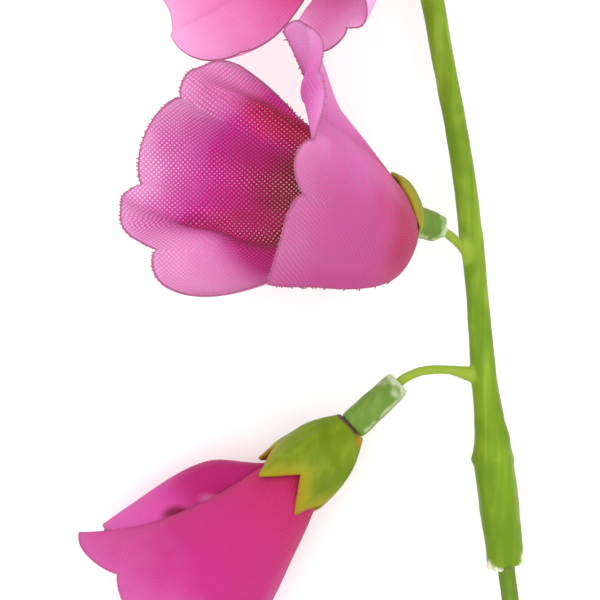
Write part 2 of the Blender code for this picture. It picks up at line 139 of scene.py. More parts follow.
# One petal: "rim" has corner, lobe, notch, lobe, ... corner as (turn, radius, height).
# "root" is the middle and half width of its foot, "waist" its half width above the foot,
# "widen" the share of its length where it widens, "neck" where it leaves the foot straight.
# "flare" and "shoulder" run from the first corner to the last. "grip" is the share of its
# length over which the flare steers the edge, and "lobes" is where its notches start.
# "roll" is a rolled edge: where it starts, is full, is no longer full and ends, its width and
# its turn. "drop" moves the first corner inwards and down, "tuck" turns the first side round
# the bell, and "swell" lets it stand out, each with its own reach.
PETALS = {
    "upper": [
        {
            "rim": [(-8, 13.4, 18.2), (15, 19.3, 21.2), (29, 19.6, 19.4), (41, 21.6, 19.4),
                    (50, 17.0, 18.5), (68, 18.0, 26.0), (90, 15.5, 27.5), (118, 14.5, 31.0),
                    (150, 15.5, 28.5)],
            "root": (86, 70), "waist": 92, "widen": (0.05, 0.3), "neck": (3.2, 2.1, 0.1),
            "flare": [38, 40, 25, 0, -4, 0], "shoulder": [(5.2, 2.8), (6.0, 2.5), (9.0, 2.3), (10.0, 2.3)],
            "grip": 0.4,
        },
        {
            "rim": [(-26, 15.8, 25.4), (-47, 17.9, 29.1), (-62, 16.4, 29.6), (-84, 17.2, 27.6),
                    (-104, 19.0, 31.5), (-120, 21.5, 34.5), (-136, 19.5, 32.0), (-156, 19.5, 31.5),
                    (-176, 14.0, 24.0)],
            "root": (-88, 76), "waist": 104, "widen": (0.1, 0.4), "neck": (3.7, 8.0, 0.2),
            "flare": [-6, 22, 34, 30, 20], "shoulder": [(6.4, 12.0), (4.8, 13.0), (4.6, 13.0)],
            "grip": 0.4,
        },
    ],
    "middle": [
        {
            "rim": [(185, 20.1, 31.5), (172, 21.4, 31.6), (153, 14.3, 32.2), (140, 12.8, 31.6),
                    (121, 11.8, 31.3), (103, 12.2, 35.2), (83, 12.6, 32.6), (60, 13.3, 33.8),
                    (28, 16.6, 30.5)],
            "root": (106, 70), "waist": 80, "widen": (0.05, 0.3), "neck": (2.8, 1.9, 0.08),
            "flare": [36, 20, 2, -6, -5, 0],
            "shoulder": [(4.2, 6.0), (4.6, 6.5), (5.2, 6.5), (5.8, 6.0), (8.0, 3.5), (10.5, 0.0),
                         (11.7, -2.6)],
            "grip": 0.42, "roll": (0.1, 0.26, 0.36, 0.54, 5.4, 165), "drop": (7.2, 4.4, 0.24),
            "lobes": 0.76,
        },
        {
            "rim": [(214, 17.0, 30.0), (229, 20.3, 33.8), (244, 18.5, 34.3), (266, 23.5, 33.6),
                    (283, 23.2, 32.2), (297, 24.2, 35.4), (313, 21.9, 32.8), (335, 21.0, 31.6),
                    (358, 14.2, 23.5)],
            "root": (260, 58), "waist": 72, "widen": (0.1, 0.4), "neck": (3.7, 8.0, 0.2),
            "flare": [15, 30, 35, 30, 20], "shoulder": [(4.6, 13.0)],
            "grip": 0.42, "lobes": 0.74,
        },
    ],
    "lower": [
        {
            "rim": [(162, 17.0, 40.2), (146, 15.6, 41.4), (124, 14.2, 39.7), (100, 15.2, 42.0),
                    (80, 15.8, 40.5), (58, 15.5, 43.0), (35, 15.0, 40.0), (12, 14.5, 42.0),
                    (-15, 13.8, 36.0)],
            "root": (75, 70), "waist": 90, "widen": (0.1, 0.3), "neck": (4.2, 10.5, 0.3),
            "flare": [48, 22, 10, 8, 8, 8, 8],
            "shoulder": [(6.6, 18.0), (5.6, 16.5), (5.0, 16.0), (5.6, 16.0), (7.0, 15.5)],
            "grip": 0.4, "tuck": (-10, 0.55, 0.3, 0.2),
        },
        {
            "rim": [(142, 5.5, 27.0), (162, 12.0, 36.0), (192, 14.2, 36.5), (220, 14.0, 40.5),
                    (248, 13.5, 38.0), (272, 13.3, 41.5), (298, 13.3, 38.5), (322, 13.4, 40.5),
                    (342, 13.2, 36.0)],
            "root": (255, 70), "waist": 108, "widen": (0.2, 0.5), "neck": (3.2, 10.5, 0.3),
            "flare": [24, 8, 8, 8, 8],
            "shoulder": [(3.6, 17.0), (4.8, 16.0), (5.0, 16.0), (5.0, 16.0), (5.0, 16.0)],
            "grip": 0.42, "swell": (3.6, 0.6, 0.14, 0.24, 0.07, 0.17),
        },
    ],
}

# The five points of each calyx and the notches between them: turn, radius, height.
CLOSED_CALYX = [
    (18, 5.6, 10.5), (54, 5.7, 15.2), (92, 5.5, 10.5), (130, 6.1, 15.2), (166, 5.5, 10.5),
    (202, 6.0, 13.6), (237, 5.4, 10.5), (272, 5.8, 14.6), (307, 5.4, 10.5), (342, 5.3, 13.6),
]
OPEN_CALYX = [
    (4, 3.7, 0.8), (10, 3.3, 0.45), (60, 3.3, 0.5), (80, 4.3, 2.0), (100, 5.0, 4.4), (140, 5.4, 6.8),
    (180, 5.6, 6.0), (216, 4.8, 3.6), (260, 7.2, 12.4), (296, 5.4, 8.5), (330, 7.0, 12.0), (350, 4.8, 2.8),
]
CALYXES = {
    "upper": [(180 - turn, radius, height) for turn, radius, height in OPEN_CALYX],
    "middle": OPEN_CALYX,
    "lower": CLOSED_CALYX,
}

# The threads of each petal: their turn in degrees, the share of the pitch that warp and weft
# cover, how dark the painted shade in the hollows between them is, and how strongly the painted light in
# the pores and the cut edge show.
THREADS = {
    ("upper", 0): (20, 1.14, 1.14, 1.0, 0.0, 0.1), ("upper", 1): (-20, 1.14, 1.14, 1.0, 0.0, 0.1),
    ("middle", 0): (-20, 0.74, 1.04, 0.4, 0.2, 0.4), ("middle", 1): (-38, 0.8, 0.8, 0.8, 0.7, 0.7),
    ("lower", 0): (25, 1.14, 1.14, 0.97, 0.03, 0.25), ("lower", 1): (-20, 1.14, 1.14, 0.97, 0.03, 0.25),
}
# The painted light that shines through the pores between the threads.
PORE_LIGHT_COLOUR = "fadcea"
# Colours from a petal's foot to its edge: dye, with painted shade that darkens the deep throat on the
# insides.
PALE_OUT = [(0.0, "7c1238"), (0.22, "981a48"), (0.45, "ae2a60"), (0.6, "bd3c80"), (0.72, "c2569a"),
            (0.9, "c65c9e"), (1.0, "d07ab2")]
DEEP_OUT = [(0.0, "7c122e"), (0.3, "a41e42"), (0.5, "b02260"), (0.8, "b22674"), (1.0, "bc4e90")]
# The upper bell's pale colours are dye and also painted light that shines through its thin cloth.
UPPER_OUT = [(0.0, "c43c74"), (0.35, "e0589c"), (0.6, "e67eba"), (0.8, "ea94c8"), (1.0, "f2a8d2")]
UPPER_IN = [(0.0, "980e38"), (0.3, "b8265e"), (0.52, "cc4686"), (0.72, "d472aa"), (0.86, "da86ba"),
            (1.0, "e49ecc")]
INSIDE = [(0.0, "48040a"), (0.38, "640412"), (0.56, "840424"), (0.68, "aa0066"), (0.8, "b4087c"),
          (0.9, "bc4094"), (1.0, "cf78b4")]
DEEP_INSIDE = [(0.0, "4c0814"), (0.5, "7a0c2c"), (0.85, "901440"), (1.0, "a42a64")]
# The colours of each bell's outside and inside: dye, and on the insides painted shade in the throat.
DYE_AND_SHADE_RAMPS = {
    "upper": {"out": UPPER_OUT, "in": UPPER_IN},
    "middle": {"out": PALE_OUT, "in": INSIDE},
    "lower": {"out": DEEP_OUT, "in": DEEP_INSIDE},
}
# Spots of another colour on a material, of dye and of painted shade: across and up, half width and height,
# strength, colour.
DYE_AND_SHADE_SPOTS = {
    "cloth middle 0 out": [
        ((0.88, 0.9), (0.4, 0.6), 0.7, "ac3c7c"),
        ((0.04, 0.9), (0.3, 0.5), 0.7, "de86c0"),
        ((0.35, 0.62), (0.3, 0.3), 0.4, "d272b4"),
        ((0.77, 0.42), (0.24, 0.18), 0.95, "a8004e"),
        ((1.0, 0.72), (0.09, 0.5), 0.5, "aa2c74"),
    ],
    "cloth middle 0 in": [
        ((0.1, 0.95), (0.16, 0.2), 0.85, "dc86c2"),
    ],
    "cloth middle 1 in": [
        ((0.16, 0.72), (0.1, 0.12), 0.6, "c40058"),
        ((0.64, 0.64), (0.1, 0.2), 0.85, "a20050"),
        ((0.1, 0.62), (0.12, 0.3), 0.8, "a60034"),
        ((0.82, 0.87), (0.2, 0.17), 0.85, "dc80bc"),
        ((0.13, 0.9), (0.14, 0.14), 0.7, "d060a4"),
    ],
    "cloth lower 1 out": [
        ((0.2, 0.86), (0.24, 0.2), 0.5, "c850a2"),
        # Painted shade: the crease and the dark pocket under the front petal's edge.
        ((0.13, 0.6), (0.14, 0.26), 0.75, "9a0c5c"),
        ((0.1, 0.835), (0.035, 0.06), 0.9, "6a0a2a"),
        ((0.08, 0.71), (0.04, 0.05), 0.35, "e090bc"),
    ],
}
# The dye of the loose threads, and the colour of the cut edge.
EDGE_DYE = [(0.0, "7c1238"), (0.5, "963468"), (1.0, "b0588a")]
CUT_COLOUR = "923c5c"
# The plastics: dark, middle and light shades, the painted sheen towards the rim, stretch of the streaks,
# roughness.
PLASTICS = {
    "stem": (("587a08", "6b8a10", "849f2a", "909d60"), 0.05, 0.5),
    "rod": (("507014", "648020", "7c9432", "808f54"), 0.05, 0.5),
    "tube": (("567824", "6a8630", "829c4a", "889a62"), 0.3, 0.5),
    "cup": (("5a7202", "6c8004", "7a8e18", "7a862c"), 0.35, 0.5),
    "pin": (("6f7a2c", "8c9440", "a5ad62", "a5ad62"), 0.5, 0.5),
}
# Marks that a plastic piece carries at each vertex: name, strength and colour. They are the
# tube's seam and torn end, and the stem's bright stalks and torn flash.
PLASTIC_MARKS = {
    "tube": [("seam", 0.75, "b9c796"), ("pale", 0.7, "c8d2ac")],
    "stem": [("stalk", 0.85, "8ca334"), ("pale", 0.9, "dcdcc2")],
}
# The materials, once they are made: by bell, petal and side, and by plastic.
CLOTH = {}
PLASTIC = {}

# How far the longest threads reach out of a petal's first and last side, in mm.
FRAY = {
    ("upper", 0): (0.3, 0.6), ("upper", 1): (0.3, 0.3),
    ("middle", 0): (0.3, 0.6), ("middle", 1): (0.3, 0.4),
    ("lower", 0): (0.2, 0.3), ("lower", 1): (0.2, 0.3),
}
# How long the thread ends of each bell's cut edge are, as a share of the usual.
FRINGE = {"upper": 0.3, "middle": 1.3, "lower": 0.4}
# A thread end's radius at its root and tip, and how deep its root is sunk in the cloth.
THREAD_ROOT_RADIUS = 0.17
THREAD_TIP_RADIUS = 0.07
THREAD_SUNK = 0.12

# Where the tubes' parting seams run, in degrees round the bell's axis.
SEAM_TURNS = (35, 215)
# How much higher the open cups' joint colours start than a closed cup's, so that none show.
OPEN_JOINT = {"upper": 2.5, "middle": 2.5, "lower": 0.0}
# Lumps on the moulded stem: centre, radius and how far each is stretched along X, Y and Z.
STEM_LUMPS = [
    ((30.0, -17.4, 10.9), 0.62, (1.0, 1.3, 1.0)),
    ((31.1, -21.0, 10.5), 0.62, (1.0, 1.2, 1.0)),
    ((31.55, -24.1, 10.3), 0.75, (1.0, 0.8, 1.0)),
    ((26.5, -23.9, 10.3), 0.75, (1.0, 0.8, 1.0)),
]
# The torn, pale flash at the sleeve's mouth.
STEM_FLASH = [
    ((28.9, -40.2, 9.6), 0.62, (1.6, 0.75, 0.75)),
    ((30.0, -40.6, 10.0), 0.5, (1.7, 0.75, 0.75)),
    ((33.5, -39.0, 9.4), 0.55, (1.0, 0.9, 0.9)),
    ((33.0, -39.9, 9.6), 0.4, (1.2, 0.6, 0.8)),
]

FLOOR_SIZE = 3000.0
FLOOR_COLOUR = (0.97, 0.97, 0.97, 1)
SURROUND_STRENGTH = 1.1
# Lamps: name, place in metres, size and power.
LIGHTS = [
    ("key", (-0.15, 0.2, 1.0), 0.9, 4.0),
    ("fill", (0.3, -0.2, 1.0), 0.9, 2.0),
]

# The cup's floor as radius and height, and its share of the way from the hole to the edge.
CALYX_FLOOR = (2.4, 0.35)
CALYX_FLOOR_SHARE = 1 / 6
# A wall that is lower than this has less of a belly.
CALYX_LOW_EDGE = 3.0
# The points of the edge stand higher than this, and its notches lower.
CALYX_POINT = 10.9
# Up each point runs a rib with a hollow on each side. The rib has a height and a width, the
# hollow a depth, a turn away from the rib and a width.
CUP_RIB = (0.16, 5.0)
CUP_HOLLOW = (0.1, 12, 6.0)
CUP_UNEVEN = 0.14
# How far the tube's seams, its soft lumps and its torn end stand out.
TUBE_SEAM_HEIGHT = 0.1
TUBE_UNEVEN = 0.13
TUBE_TORN = 0.5
# The stem's relief: how fast it changes along X, Y and Z, and how high it stands.
STEM_RIDGES = ((1.5, 0.05, 1.5), 0.06)
STEM_SWELLS = ((0.45, 0.3, 0.45), 0.08)
SLEEVE_BUMPS = ((0.9, 0.55, 0.9), 0.06)
TORN_MOUTH = ((1.9, 1.9, 1.9), 0.35)

# How finely each piece is divided, the size of the stem's voxels, and how near points merge.
PETAL_COLUMNS = 176
PETAL_ROWS = 84
BRIDGE_COLUMNS = 8
CALYX_COLUMNS = 180
CALYX_ROWS = 34
TURNED_COLUMNS = 72
ROD_COLUMNS = 40
TUBE_ROWS = 90
ROD_RINGS = 60
VOXEL = 0.26
MERGE = 0.004
# What the smoothing takes off the stem, which its skin gets back.
SKIN_SWELL = 0.05

# The share of a petal's length where its notches start, if it has no "lobes" of its own.
NOTCH_START = 0.55
# The step between the places whose mean is the soft rim.
SOFT_RIM_STEP = 0.02
# The edge points that were worked out already, by petal and across.
EDGES = {}
# On the flat cloth a step round the bell is at least this share of its length, both squared.
LEAST_SPREAD = 0.16
# How deep the small waves of the cloth are.
WAVE_DEPTH = 0.22
# How many points of a stalk, from its root, keep the stem's colour.
STALK_ROOT_POINTS = 3

PETAL_WIDTH = 60.0
PETAL_LENGTH = 38.0
# Folds in the petals: start and end as across and up, half width and depth in mm (outwards +).
FOLDS = {
    ("middle", 1): [
        ((0.54, 1.0), (0.63, 0.78), 1.6, 1.1),
        ((0.63, 0.78), (0.76, 0.6), 2.0, 1.5),
        ((0.74, 1.0), (0.7, 0.8), 3.4, -1.5),
        ((0.17, 0.9), (0.07, 0.62), 1.5, 0.9),
        ((0.12, 1.0), (0.03, 0.7), 2.0, -0.7),
    ],
    ("middle", 0): [
        ((0.25, 1.0), (0.3, 0.6), 1.8, -0.5),
        ((0.9, 0.95), (0.75, 0.55), 2.6, 0.35),
    ],
    ("upper", 1): [
        ((0.26, 1.0), (0.3, 0.6), 2.0, 0.7),
    ],
    ("upper", 0): [
        ((0.27, 1.0), (0.3, 0.6), 1.6, -0.5),
    ],
}


def blend(first, second, share):
    return first + (second - first) * share


def smooth_step(start, end, value):
    share = min(1.0, max(0.0, (value - start) / (end - start)))
    return share * share * (3 - 2 * share)


def hill(far, width):
    """A soft hill: 1 in its middle and nearly 0 at twice its width."""
    return math.exp(-(far / width) ** 2)


def bezier(start, after, before, end, t):
    """A place on the curve from start to end that leaves for after and comes from before."""
    return ((1 - t) ** 3 * start + 3 * (1 - t) ** 2 * t * after
            + 3 * (1 - t) * t * t * before + t ** 3 * end)


def relief(point, scale, height):
    """A smooth random relief, with scale for how fast it changes along each axis."""
    return height * noise.noise(Vector([value * size for value, size in zip(point, scale)]))


def grid_of(shape, columns, rows):
    """Add a flat grid to a shape, and give its vertices with their columns and rows."""
    grid = bmesh.ops.create_grid(shape, x_segments=columns, y_segments=rows, size=0.5)
    return [(vert, round((vert.co.x + 0.5) * columns), round((vert.co.y + 0.5) * rows))
            for vert in grid["verts"]]


def along(values, share):
    """A soft mean of the values near one place in a list, with share from 0 to 1."""
    if len(values) == 1:
        return Vector(values[0]) if isinstance(values[0], tuple) else values[0]
    place = share * (len(values) - 1)
    weights = [hill(place - index, 0.7) for index in range(len(values))]
    total = sum(weights)
    if isinstance(values[0], tuple):
        return sum((Vector(v) * w for v, w in zip(values, weights)), Vector((0, 0))) / total
    return sum(v * w for v, w in zip(values, weights)) / total


def rim_point(rim, across):
    """The petal's edge at across, from 0 to 1: round lobes with sharp notches between."""
    lobe = min(LOBES - 1, int(across * LOBES))
    share = across * LOBES - lobe
    start, top, end = (Vector(station) for station in rim[2 * lobe:2 * lobe + 3])
    swell = max(0.0, math.sin(math.pi * share)) ** LOBE_ROUNDNESS
    return start.lerp(end, share) + (top - (start + end) / 2) * swell


def soft_rim_point(rim, across):
    """The edge's mean course near across, without its notches."""
    total, weights = Vector((0, 0, 0)), 0.0
    for step in range(-6, 7):
        near = across + step * SOFT_RIM_STEP
        weight = hill(step, 3)
        total += rim_point(rim, min(1.0, max(0.0, near))) * weight
        weights += weight
    return total / weights


def edge_point(petal, across, up):
    """Where the cloth at one height is headed for: notches only shape it near its edge."""
    key = (id(petal), across)
    if key not in EDGES:
        EDGES[key] = (soft_rim_point(petal["rim"], across), rim_point(petal["rim"], across))
    soft, cut = EDGES[key]
    if "drop" in petal:
        inwards, down, wide = petal["drop"]
        soft = soft - Vector((0, inwards, down)) * hill(across, wide)
    return soft.lerp(cut, smooth_step(petal.get("lobes", NOTCH_START), 1.0, up))


def petal_turn(petal, across, up):
    """The angle round the bell's axis, in degrees."""
    rim = petal["rim"]
    middle = (rim[0][0] + rim[-1][0]) / 2
    half = (rim[-1][0] - rim[0][0]) / 2
    root_middle, root_half = petal["root"]
    waist = petal["waist"]
    width = blend(root_half, waist, smooth_step(*petal["widen"], up)) + (abs(half) - waist) * up
    centre = blend(middle, root_middle, (1 - up) ** 3)
    side = blend(2 * across - 1, (edge_point(petal, across, up)[0] - middle) / half, up)
    turn = centre + side * math.copysign(width, half)
    if "tuck" in petal:
        amount, height, tall, wide = petal["tuck"]
        turn += amount * hill(across, wide) * hill(up - height, tall)
    return turn


def petal_profile(petal, across, up):
    """Radius and height on the petal, from its foot at up 0 to its edge at up 1."""
    neck = Vector(petal["neck"][:2])
    neck_share = petal["neck"][2]
    if up < neck_share:
        return Vector(SHEET_FOOT).lerp(neck, up / neck_share)
    rolled, roll_turn = roll_at(petal, across)
    edge = edge_point(petal, across, up)
    edge = Vector((edge[1], edge[2]))
    flare = math.radians(along(petal["flare"], across))
    ahead = Vector((math.sin(flare), math.cos(flare)))
    shoulder = along(petal["shoulder"], across)
    reach = petal["grip"] * (edge - neck).length
    fold = 1 - rolled / PETAL_LENGTH
    t = min(1.0, (up - neck_share) / (fold - neck_share))
    profile = bezier(neck, shoulder, edge - reach * ahead, edge, t)
    if "swell" in petal:
        profile[0] += swell_at(petal["swell"], across, up)
    if up > fold:
        angle = roll_turn * (up - fold) / (1 - fold)
        size = rolled / roll_turn
        outwards = Vector((ahead.y, -ahead.x))
        profile += size * (math.sin(angle) * ahead + (1 - math.cos(angle)) * outwards)
    return profile


def roll_at(petal, across):
    """How much of the cloth is rolled over at its edge, in mm, and how far it turns."""
    if "roll" not in petal:
        return 0.0, 1.0
    start, full, last, end, width, turn = petal["roll"]
    share = smooth_step(start, full, across) * (1 - smooth_step(last, end, across))
    return width * share + 0.001, math.radians(turn)


def swell_at(swell, across, up):
    """How far the cloth stands out in the swell: steep on its first side, soft on the other."""
    amount, height, below, above, start, full = swell
    tall = below if up < height else above
    side = smooth_step(start, full, across) * (1 - smooth_step(full + 0.1, full + 0.4, across))
    return amount * side * hill(up - height, tall)


def round_axis(turn, radius, height):
    angle = math.radians(turn)
    return Vector((radius * math.cos(angle), radius * math.sin(angle), height))


def fold_depth(folds, across, up):
    """How far the folds push the cloth outwards at one place, in mm."""
    here = Vector((across * PETAL_WIDTH, up * PETAL_LENGTH))
    depth = 0.0
    for start, end, width, amount in folds:
        start = Vector((start[0] * PETAL_WIDTH, start[1] * PETAL_LENGTH))
        line = Vector((end[0] * PETAL_WIDTH, end[1] * PETAL_LENGTH)) - start
        share = min(1.0, max(0.0, (here - start).dot(line) / line.length_squared))
        depth += amount * hill((here - start - line * share).length, width)
    return depth


def cloth_point(name, index, across, up):
    """A place on the cloth round its bell's axis, in mm, with its folds and small waves."""
    petal = PETALS[name][index]
    radius, height = petal_profile(petal, across, up)
    loose = smooth_step(0.25, 0.6, up)
    wave = noise.noise(Vector((across * 7.0, up * 4.0, 3.7 * index + len(name))))
    radius += loose * (fold_depth(FOLDS.get((name, index), []), across, up) + WAVE_DEPTH * wave)
    return round_axis(petal_turn(petal, across, up), radius, height)


def flat_places(points, columns, rows):
    """Where each point of the petal lies on the flat cloth, in mm from the bell's foot."""
    length = {}
    for column in range(columns + 1):
        length[column, 0] = SHEET_FOOT[0]
        for row in range(1, rows + 1):
            step = (points[column, row] - points[column, row - 1]).length
            length[column, row] = length[column, row - 1] + step
    side = {}
    middle = columns // 2
    for row in range(rows + 1):
        side[middle, row] = 0.0
        for order in (range(middle + 1, columns + 1), range(middle - 1, -1, -1)):
            sign = 1 if order.step > 0 else -1
            for column in order:
                before = column - sign
                whole = (points[column, row] - points[before, row]).length_squared
                spread = whole - (length[column, row] - length[before, row]) ** 2
                side[column, row] = side[before, row] + sign * math.sqrt(max(LEAST_SPREAD * whole, spread))
    flats = {}
    for key, far in length.items():
        angle = side[key] / far
        flats[key] = Vector((far * math.sin(angle), far * math.cos(angle)))
    return flats


def petal_edge(columns, rows):
    """The cut edge's columns and rows, from the foot up one side, round, and down the other."""
    path = [(0, row) for row in range(rows // 6, rows)]
    path += [(column, rows) for column in range(columns + 1)]
    return path + [(columns, row) for row in range(rows - 1, rows // 6, -1)]


def edge_distances(points, columns, rows):
    """How far each point is from the cut edge, along its own column or row, in mm."""
    far = {}
    for column in range(columns + 1):
        far[column, rows] = 0.0
        for row in range(rows - 1, -1, -1):
            step = (points[column, row + 1] - points[column, row]).length
            far[column, row] = far[column, row + 1] + step
    for row in range(rows // 6, rows + 1):
        for order in (range(columns + 1), range(columns, -1, -1)):
            gone, before = 0.0, order[0]
            for column in order:
                gone += (points[column, row] - points[before, row]).length
                before = column
                far[column, row] = min(far[column, row], gone)
    return far


def set_loops(vert, layers, flat, petal):
    """Give the corners at a vertex its places on the flat cloth and on the petal."""
    for loop in vert.link_loops:
        loop[layers["flat"]].uv = flat
        loop[layers["petal"]].uv = petal


def add_cloth_petal(sheet, layers, name, index):
    """Add one petal to the sheet, and return its points by column and row."""
    grid = grid_of(sheet, PETAL_COLUMNS, PETAL_ROWS)
    points = {(column, row): cloth_point(name, index, column / PETAL_COLUMNS, row / PETAL_ROWS)
              for _, column, row in grid}
    flats = flat_places(points, PETAL_COLUMNS, PETAL_ROWS)
    far = edge_distances(points, PETAL_COLUMNS, PETAL_ROWS)
    for vert, column, row in grid:
        vert.co = points[column, row]
        vert[layers["edge"]] = far[column, row]
        set_loops(vert, layers, flats[column, row], (column / PETAL_COLUMNS, row / PETAL_ROWS))
        for face in vert.link_faces:
            face.material_index = index
    return points


def foot_turns(petals):
    """The turns round the sheet's foot: both petals' columns and the bridges between them."""
    feet = []
    for petal in petals:
        turns = [petal_turn(petal, column / PETAL_COLUMNS, 0.0) for column in range(PETAL_COLUMNS + 1)]
        feet.append(turns if turns[-1] > turns[0] else turns[::-1])
    feet.sort(key=lambda turns: turns[0])
    first, second = feet
    turns = first[:]
    for start, end in ((first[-1], second[0]), (second[-1], first[0] + 360)):
        turns += [blend(start, end, step / BRIDGE_COLUMNS) for step in range(1, BRIDGE_COLUMNS)]
        turns += second if end == second[0] else []
    return turns + [first[0] + 360]


def add_cloth_foot(sheet, layers, petals):
    """Add the ring of cloth round the pin's hole, which joins the two petals."""
    turns = foot_turns(petals)
    columns = len(turns) - 1
    for vert, column, row in grid_of(sheet, columns, 1):
        radius = blend(HOLE_RADIUS, SHEET_FOOT[0], row)
        vert.co = round_axis(turns[column] % 360, radius, SHEET_FOOT[1])
        vert[layers["edge"]] = SHEET_FOOT[0]
        set_loops(vert, layers, vert.co.xy, (0.5, 0.0))


def flower_frame(flower):
    """Z along the bell's axis, Y towards the viewer above, and the foot as the origin."""
    z_axis = Vector(flower["mouth"]).normalized()
    y_axis = (Vector((0, 0, 1)) - z_axis * z_axis.z).normalized()
    x_axis = y_axis.cross(z_axis)
    place = Matrix((x_axis, y_axis, z_axis)).transposed().to_4x4()
    place.translation = Vector(flower["foot"])
    return place


def to_world():
    """From the CAD source's frame in mm to the part's frame in metres."""
    return Matrix.Scale(MM, 4) @ Matrix.Translation(-BOX_MIDDLE)


def placed(name, data):
    """An object in the scene that shows the data."""
    thing = bpy.data.objects.new(name, data)
    bpy.context.scene.collection.objects.link(thing)
    return thing


def finished(name, shape, materials, place=Matrix(), smooth=True):
    """A piece from a bmesh in mm, put in its place, with its materials."""
    shape.transform(to_world() @ place)
    mesh = bpy.data.meshes.new(name)
    shape.to_mesh(mesh)
    shape.free()
    for material in materials:
        mesh.materials.append(material)
    if smooth:
        mesh.shade_smooth()
    return placed(name, mesh)


def face_outwards(sheet):
    """Face an open sheet away from its axis."""
    bmesh.ops.recalc_face_normals(sheet, faces=sheet.faces)
    sheet.normal_update()
    outwards = sum(face.normal.dot(face.calc_center_median() * Vector((1, 1, 0))) * face.calc_area()
                   for face in sheet.faces)
    if outwards < 0:
        bmesh.ops.reverse_faces(sheet, faces=sheet.faces)


def add_thread(threads, layers, start, direction, length, place):
    """One loose thread end: a thin three-sided cone that stands out of the cut edge."""
    turn = direction.to_track_quat("Z", "Y").to_matrix().to_4x4()
    matrix = Matrix.Translation(start + direction * (length / 2)) @ turn
    cone = bmesh.ops.create_cone(threads, cap_ends=True, segments=3, depth=length, matrix=matrix,
                                 radius1=THREAD_ROOT_RADIUS, radius2=THREAD_TIP_RADIUS)
    for vert in cone["verts"]:
        set_loops(vert, layers, start.xy, place)


def add_fringe(threads, layers, name, index, points, draw):
    """Thread ends all along a petal's cut edge, and longer ones down its two sides."""
    columns, rows = PETAL_COLUMNS, PETAL_ROWS
    edge = petal_edge(columns, rows)
    gone, due = 0.0, 0.0
    for before, spot in zip(edge, edge[1:]):
        gone += (points[spot] - points[before]).length
        if gone < due:
            continue
        due = gone + THREAD_PITCH * draw.uniform(0.5, 0.9)
        column, row = spot
        inside = (column, row - 1) if row == rows else (column + (1 if column == 0 else -1), row)
        outwards = (points[spot] - points[inside]).normalized()
        ahead = (points[spot] - points[before]).normalized()
        side = row < rows
        slant = outwards + ahead * (draw.uniform(-0.5, 1.9) if side else draw.uniform(-0.5, 0.5))
        slant = (slant - ahead.cross(outwards) * draw.uniform(-0.2, 0.2)).normalized()
        fray = FRAY[name, index][0 if column == 0 else 1] if side else 0.0
        length = (draw.uniform(0.04, 0.24) + fray * draw.uniform(0.0, 1.0) ** 4) * FRINGE[name]
        start = points[spot] - slant * THREAD_SUNK
        add_thread(threads, layers, start, slant, length + THREAD_SUNK, (column / columns, row / rows))


def cloth_layers(shape):
    """The cloth's places on the flat cloth and on the petal, and its distance from the cut."""
    return {
        "flat": shape.loops.layers.uv.new("flat"),
        "petal": shape.loops.layers.uv.new("petal"),
        "edge": shape.verts.layers.float.new("edge"),
    }


def thicken(piece, thickness):
    """Give an open sheet its thickness, half to each side."""
    solidify = piece.modifiers.new("thickness", "SOLIDIFY")
    solidify.thickness = thickness * MM
    solidify.offset = 0.0
    return solidify


def make_bell(name):
    """The bell's cloth and its fringe of thread ends, as two pieces."""
    sheet, threads = bmesh.new(), bmesh.new()
    sheet_layers, thread_layers = cloth_layers(sheet), cloth_layers(threads)
    draw = random.Random(name)
    for index in range(len(PETALS[name])):
        points = add_cloth_petal(sheet, sheet_layers, name, index)
        add_fringe(threads, thread_layers, name, index, points, draw)
    add_cloth_foot(sheet, sheet_layers, PETALS[name])
    bmesh.ops.remove_doubles(sheet, verts=sheet.verts, dist=MERGE)
    face_outwards(sheet)
    place = flower_frame(FLOWERS[name])
    looks = [CLOTH[name, index, side] for side in ("out", "in") for index in (0, 1)]
    cloth = finished(f"cloth_{name}", sheet, looks + [CLOTH["cut"], CLOTH["cut"]], place)
    solidify = thicken(cloth, FABRIC_THICKNESS)
    solidify.material_offset = 2
    solidify.material_offset_rim = 4
    fringe = finished(f"fringe_{name}", threads, [CLOTH["thread"]], place, smooth=False)
    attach(cloth, "root")
    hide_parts(f"bell_{name}")
    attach(fringe, "root")


def turn_between(first, second):
    """The angle between two turns, from 0 to 180."""
    return abs((first - second + 180) % 360 - 180)


def nearest_to(points):
    """A search tree that finds the nearest of the points."""
    tree = kdtree.KDTree(len(points))
    for number, point in enumerate(points):
        tree.insert(point, number)
    tree.balance()
    return tree


def calyx_edge(stations, turn):
    """Radius and height of the calyx's edge: straight from point to notch."""
    ordered = sorted((station[0] % 360, station[1], station[2]) for station in stations)
    first, last = ordered[0], ordered[-1]
    ordered = [(last[0] - 360, *last[1:])] + ordered + [(first[0] + 360, *first[1:])]
    for start, end in zip(ordered, ordered[1:]):
        if start[0] <= turn <= end[0]:
            share = (turn - start[0]) / (end[0] - start[0])
            return Vector(start[1:]).lerp(Vector(end[1:]), share)


def calyx_turns(stations):
    """Columns for the calyx, with one on every point and notch."""
    ordered = sorted(station[0] % 360 for station in stations)
    turns = []
    for start, end in zip(ordered, ordered[1:] + [ordered[0] + 360]):
        steps = max(1, round(CALYX_COLUMNS * (end - start) / 360))
        turns += [blend(start, end, step / steps) for step in range(steps)]
    return turns + [ordered[0] + 360]


def calyx_profile(edge, up):
    """From the hole across the floor and up the wall to the edge."""
    hole = Vector((HOLE_RADIUS, CALYX_FLOOR[1]))
    floor = Vector(CALYX_FLOOR)
    size = smooth_step(0.0, CALYX_LOW_EDGE, edge[1] - floor[1])
    if up < CALYX_FLOOR_SHARE:
        return hole.lerp(floor, up / CALYX_FLOOR_SHARE)
    t = (up - CALYX_FLOOR_SHARE) / (1 - CALYX_FLOOR_SHARE)
    rise = edge - floor
    belly = floor + Vector((0.24 * rise[0], 0.14 * rise[1])) * size
    below_edge = edge - Vector((-0.04 * rise[0], 0.62 * rise[1]))
    return bezier(floor, belly, below_edge, edge, t)


